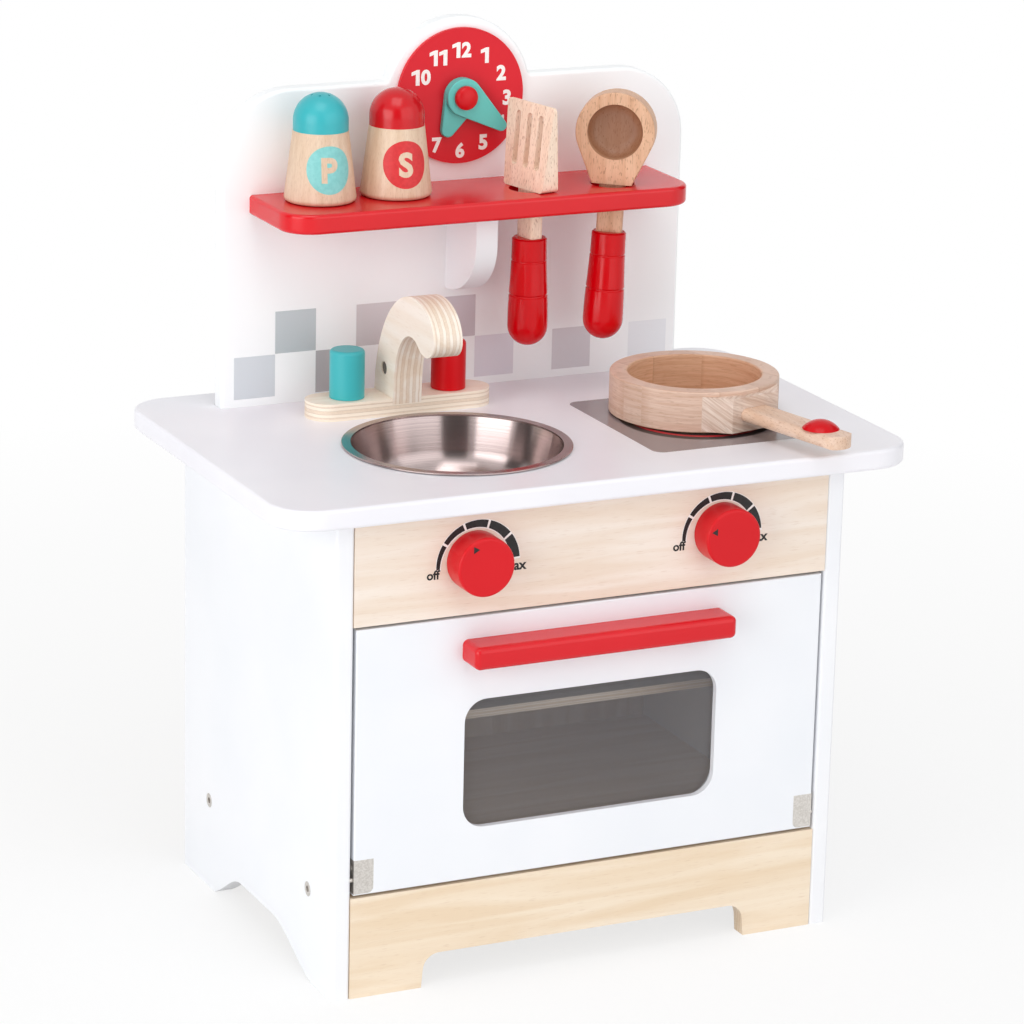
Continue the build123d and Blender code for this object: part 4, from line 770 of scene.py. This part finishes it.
# Faucet and taps
# Birch plywood: the spout cut from a thick board, so its curved edge shows every ply, and the base
# from a thin one. The taps are turned posts in teal and red.
spout_ply = plywood(
    "birch ply, spout", X, Y, "faucet_spout", 9, "#F7EDE1", "#F0E0CE", "#B98F68", 0.38
)
dress(spout_ply, "faucet_spout")
base_ply = plywood(
    "birch ply, faucet base", Z, X, "faucet_base", 5, "#FCF0E0", "#F5E4D0", "#8E6A48", 0.35
)
dress(base_ply, "faucet_base")
tap_teal = enamel("teal enamel on posts", "#40B6BC", "#39AEB4", 0.36, 0.4, Z)
tap_red = enamel("red enamel on posts", "#D80613", "#CE0410", 0.34, 0.25, Z)
dress(tap_teal, "tap_cold")
dress(tap_red, "tap_hot")

# Sink bowl
# Stainless sheet, pressed and then spun, with the polishing marks running round it.
# Fine rings break its highlights into streaks that cross the bowl.
steel, tree, place = new_material("spun stainless steel")
bowl_low, bowl_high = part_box("sink_bowl")
bowl_x, bowl_y = (bowl_low.x + bowl_high.x) / 2, (bowl_low.y + bowl_high.y) / 2
centred = add(tree, "ShaderNodeMapping", {"Vector": place, "Location": (-bowl_x, -bowl_y, 0)})
split = add(tree, "ShaderNodeSeparateXYZ", {0: centred})
flat_place = add(tree, "ShaderNodeCombineXYZ", {0: split.outputs[0], 1: split.outputs[1]})
across = add(tree, "ShaderNodeVectorMath", {0: flat_place}, operation="LENGTH").outputs["Value"]
mark_width = 0.6 * mm
across = add(tree, "ShaderNodeMath", {0: across, 1: mark_width}, operation="DIVIDE")
down = add(tree, "ShaderNodeMath", {0: split.outputs[2], 1: mark_width}, operation="DIVIDE")
marks = add(
    tree, "ShaderNodeTexNoise",
    {"Vector": add(tree, "ShaderNodeCombineXYZ", {0: across, 1: down}), "Scale": 1.0,
     "Detail": 3.0},
)
share = add(tree, "ShaderNodeMapRange", {"Value": marks, "From Min": 0.3, "From Max": 0.7})
steel_tint = add(
    tree, "ShaderNodeMix", {0: share, 6: srgb("#B9AAA8"), 7: srgb("#A59694")}, data_type="RGBA"
)
steel_bump = add(tree, "ShaderNodeBump", {"Height": marks, "Strength": 0.08, "Distance": 0.05 * mm})
tangent = add(tree, "ShaderNodeTangent", direction_type="RADIAL", axis="Z")
steel_shader = add(
    tree, "ShaderNodeBsdfPrincipled",
    {"Base Color": steel_tint, "Metallic": 1.0, "Roughness": 0.22, "Anisotropic": 0.8,
     "Anisotropic Rotation": 0.25, "Normal": steel_bump, "Tangent": tangent},
)
add(tree, "ShaderNodeOutputMaterial", {"Surface": steel_shader})
dress(steel, "sink_bowl")

# Hob
# A thin grey foil-faced sheet let into the countertop, with a black burner and a red ring printed
# on it.
hob_sheet = enamel("satin grey hob sheet", "#918586", "#8A7E7F", 0.2)
dress(hob_sheet, "hob_plate")
burner_black = ink("black burner print", "#231F20", "#2B2728", 0.35)
burner_red = ink("red burner ring print", "#BE2733", "#B4222E", 0.35)
burner_rings = [  # inner and outer radius in mm, material, how many films up
    ("burner_outer", 0.0, 53.5, burner_black, 1), ("burner_ring", 43.8, 47.5, burner_red, 2),
]
hob_low, hob_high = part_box("hob_plate")
hob_x, hob_y = (hob_low.x + hob_high.x) / 2, (hob_low.y + hob_high.y) / 2
for name, inner, outer, material, layer in burner_rings:
    mesh = bpy.data.meshes.new(name)
    count = 128
    turns = [2 * pi * i / count for i in range(count)]
    z = hob_high.z + layer * film
    rim = [(hob_x + outer * mm * cos(t), hob_y + outer * mm * sin(t), z) for t in turns]
    if inner:
        eye = [(hob_x + inner * mm * cos(t), hob_y + inner * mm * sin(t), z) for t in turns]
        faces = [
            (i, (i + 1) % count, count + (i + 1) % count, count + i) for i in range(count)
        ]
        mesh.from_pydata(rim + eye, [], faces)
    else:
        mesh.from_pydata(rim, [], [tuple(range(count))])
    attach(new_object(name, mesh, material), "cabinet")


# Pan
# A thick ring of beech turned from glued boards, its inside warmer in tone, on a thin round base.
# A wedge carries the flat handle, whose red button is a half ball.
def glued_beech(name, boards_along, board_size, layer_axis, colour, figure, fleck, tilt=0.0):
    """Beech boards glued together: each has its own tone and rings, with a fine joint between."""
    material, tree, place = new_material(name)
    board_of = add(
        tree, "ShaderNodeVectorMath", {0: place, 1: boards_along}, operation="DOT_PRODUCT"
    ).outputs["Value"]
    count = add(tree, "ShaderNodeMath", {0: board_of, 1: board_size}, operation="DIVIDE")
    board = add(tree, "ShaderNodeMath", {0: count}, operation="FLOOR")
    tone = add(tree, "ShaderNodeTexWhiteNoise", {"W": board}, noise_dimensions="1D")
    board_jump = (0.31, 0.17, 0.23)  # metres between the rings of one board and the next
    jump = add(tree, "ShaderNodeVectorMath", {0: board_jump, "Scale": board}, operation="SCALE")
    moved = add(tree, "ShaderNodeVectorMath", {0: place, 1: jump}, operation="ADD")
    turned = (radians(tilt), radians(tilt), 0)
    moved = add(tree, "ShaderNodeMapping", {"Vector": moved, "Rotation": turned})
    parts = [  # millimetres within a layer and through it
        ("rings", 45, 1.5, {"Detail": 2.0, "Distortion": 0.2}),
        ("fibres", 12, 0.5, {"Detail": 2.0}), ("rays", 5.0, 0.6, {"Detail": 0.0}),
    ]
    grain = wood_grain(tree, moved, layer_axis, parts)
    shares = {"rings": (0.36, 0.66, 1.0), "fibres": 0.3, "rays": 0.25}
    ground = beech_ground(tree, grain, (colour, figure, fleck), shares)
    edge = add(tree, "ShaderNodeMath", {0: count}, operation="FRACT")
    joint = add(
        tree, "ShaderNodeMapRange",
        {"Value": edge, "From Min": 0.0, "From Max": 0.05, "To Min": 0.3, "To Max": 0.0},
    )
    ground = add(tree, "ShaderNodeMix", {0: joint, 6: ground, 7: srgb(fleck)}, data_type="RGBA")
    lighter = add(tree, "ShaderNodeMapRange", {"Value": tone, "To Min": 0.95, "To Max": 1.04})
    tint = add(tree, "ShaderNodeHueSaturation", {"Color": ground, "Value": lighter})
    return lacquered(material, tree, tint, grain["fibres"])


ring_beech = glued_beech(
    "glued beech, pan", (0.96, 0.28, 0), 31 * mm, Z, "#DDC0AE", "#D0AC96", "#A87C60"
)
dress(ring_beech, "pan_ring")
tree = ring_beech.node_tree
ring_low, ring_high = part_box("pan_ring")
ring_middle = (ring_low + ring_high) / 2
wall_radius, rim_radius = 46.3 * mm, 48 * mm  # all warm inside the first, none outside the second
where = add(tree, "ShaderNodeTexCoord").outputs["Object"]
off_axis = add(tree, "ShaderNodeVectorMath", {0: where, 1: ring_middle}, operation="SUBTRACT")
off_axis = add(tree, "ShaderNodeVectorMath", {0: off_axis, 1: (1, 1, 0)}, operation="MULTIPLY")
off_axis = add(tree, "ShaderNodeVectorMath", {0: off_axis}, operation="LENGTH").outputs["Value"]
inside = add(
    tree, "ShaderNodeMapRange",
    {"Value": off_axis, "From Min": wall_radius, "From Max": rim_radius, "To Min": 1.0,
     "To Max": 0.0},
)
recolour(ring_beech, inside, srgb("#FFF1DE"), blend_type="MULTIPLY")
base_beech = beech("lacquered beech, pan base", X, "#D6AE8C", "#C89A75", "#9C6F4E", 0.5)
dress(base_beech, "pan_base")
block_beech = glued_beech(
    "glued beech, block", (0.5, 0.5, 0.7), 60 * mm, Z, "#EFDBCD", "#D0B19D", "#A98772", -24.0
)
dress(block_beech, "pan_block")
handle_beech = beech("lacquered beech, pan handle", Y, "#E6CAB6", "#DAB79D", "#B08465", 0.5)
dress(handle_beech, "pan_handle")
button_red = enamel("red enamel on a turned button", "#CC0613", "#C2040F", 0.25, 0.2)
dress(button_red, "pan_button")
dress(beech("beech dowel", Z, "#E3C3A0", "#D3AB82", "#A87E57"), "dowels")


# Floor, light and camera
# A pale floor and backdrop, soft light from the left and the front, and three dark screens that
# only reflections show. The viewpoint is the photograph's own.
def seen_share(tree):
    """One for what the camera sees, straight or in a reflection or through a pane, else nought."""
    ways = add(tree, "ShaderNodeLightPath").outputs
    seen = ways["Is Camera Ray"]
    for way in ("Is Glossy Ray", "Is Transmission Ray"):
        seen = add(tree, "ShaderNodeMath", {0: seen, 1: ways[way]}, operation="MAXIMUM")
    return seen


floor_material, tree, place = new_material("pale studio floor")
seen = seen_share(tree)
away = add(tree, "ShaderNodeVectorMath", {0: place}, operation="LENGTH").outputs["Value"]
share = add(
    tree, "ShaderNodeMapRange",
    {"Value": away, "From Min": 0.4, "From Max": 1.3, "To Min": 0.75, "To Max": 1.0},
)
glowing = add(tree, "ShaderNodeMath", {0: seen, 1: share}, operation="MULTIPLY")
matt = add(tree, "ShaderNodeBsdfDiffuse", {"Color": srgb("#F6F6F6")})
glow = add(tree, "ShaderNodeEmission", {"Color": (1, 1, 1, 1), "Strength": 1.0})
lit = add(tree, "ShaderNodeMixShader", {0: glowing, 1: matt, 2: glow})
add(tree, "ShaderNodeOutputMaterial", {"Surface": lit})
reach = 6.0
floor_mesh = bpy.data.meshes.new("floor")
floor_mesh.from_pydata(
    [(-reach, -reach, 0), (reach, -reach, 0), (reach, reach, 0), (-reach, reach, 0)],
    [], [(0, 1, 2, 3)],
)
new_object("floor", floor_mesh, floor_material)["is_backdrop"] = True

screen_material, tree, place = new_material("dark studio screen")
add(
    tree, "ShaderNodeOutputMaterial",
    {"Surface": add(tree, "ShaderNodeEmission", {"Color": (0.1, 0.1, 0.1, 1), "Strength": 1.0})},
)
screens = [  # degrees from the front to the right, half width, height and distance in metres
    ("front", -22, 1.1, 3.2, 3.9), ("right", 100, 0.8, 2.6, 2.6), ("left", -103, 0.5, 2.6, 2.6),
]
for name, turn, half, height, distance in screens:
    out = Vector((sin(radians(turn)), -cos(radians(turn)), 0))
    level = Vector((cos(radians(turn)), sin(radians(turn)), 0))
    feet = [distance * out - half * level, distance * out + half * level]
    tops = [foot + Vector((0, 0, height)) for foot in feet]
    screen_mesh = bpy.data.meshes.new(f"screen_{name}")
    screen_mesh.from_pydata([*feet, *tops], [], [(0, 2, 3, 1)])
    screen = new_object(f"screen_{name}", screen_mesh, screen_material)
    screen.visible_camera = False
    screen.visible_diffuse = False
    screen.visible_shadow = False
    screen.visible_transmission = False
    screen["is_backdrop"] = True

world = bpy.data.worlds.new("soft studio")
bpy.context.scene.world = world
world.use_nodes = True
tree = world.node_tree
tree.nodes.clear()
seen = seen_share(tree)
soft = add(tree, "ShaderNodeBackground", {"Color": (1, 1, 1, 1), "Strength": 0.55})
pale = add(tree, "ShaderNodeBackground", {"Color": (1, 1, 1, 1), "Strength": 1.0})
both = add(tree, "ShaderNodeMixShader", {0: seen, 1: soft, 2: pale})
add(tree, "ShaderNodeOutputWorld", {0: both})

kitchen_middle = Vector((0, 0, 0.3))


def softbox(name, place, size, power):
    """A square area lamp that faces the kitchen."""
    lamp = bpy.data.lights.new(name, "AREA")
    lamp.size = size
    lamp.energy = power
    made = bpy.data.objects.new(name, lamp)
    bpy.context.scene.collection.objects.link(made)
    made.location = place
    aim = kitchen_middle - Vector(place)
    made.rotation_euler = aim.to_track_quat("-Z", "Y").to_euler()


# place and size in metres, power in watts
softbox("key", (-2.3, -1.0, 0.75), 1.8, 30)
softbox("fill", (0.9, -2.4, 0.9), 2.8, 22)
softbox("top", (-0.5, -0.8, 2.8), 1.6, 19)

azimuth, elevation, roll = radians(-25.65), radians(16.54), radians(1.37)
distance = 2.81475
target = Vector((-0.00188, 0.0092, 0.28133))
back = Vector(
    (sin(azimuth) * cos(elevation), -cos(azimuth) * cos(elevation), sin(elevation))
)
right = (-back).cross(Vector((0, 0, 1))).normalized()
up = right.cross(-back)
turned_right = cos(roll) * right + sin(roll) * up
turned_up = -sin(roll) * right + cos(roll) * up
camera = bpy.data.objects.new("camera", bpy.data.cameras.new("camera"))
bpy.context.scene.collection.objects.link(camera)
camera.data.sensor_width = 36.0
camera.data.lens = 145.12
camera.matrix_world = Matrix.Translation(target + distance * back) @ Matrix(
    (turned_right, turned_up, back)
).transposed().to_4x4()
bpy.context.scene.camera = camera
bpy.context.scene.view_settings.view_transform = "Standard"

low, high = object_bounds()
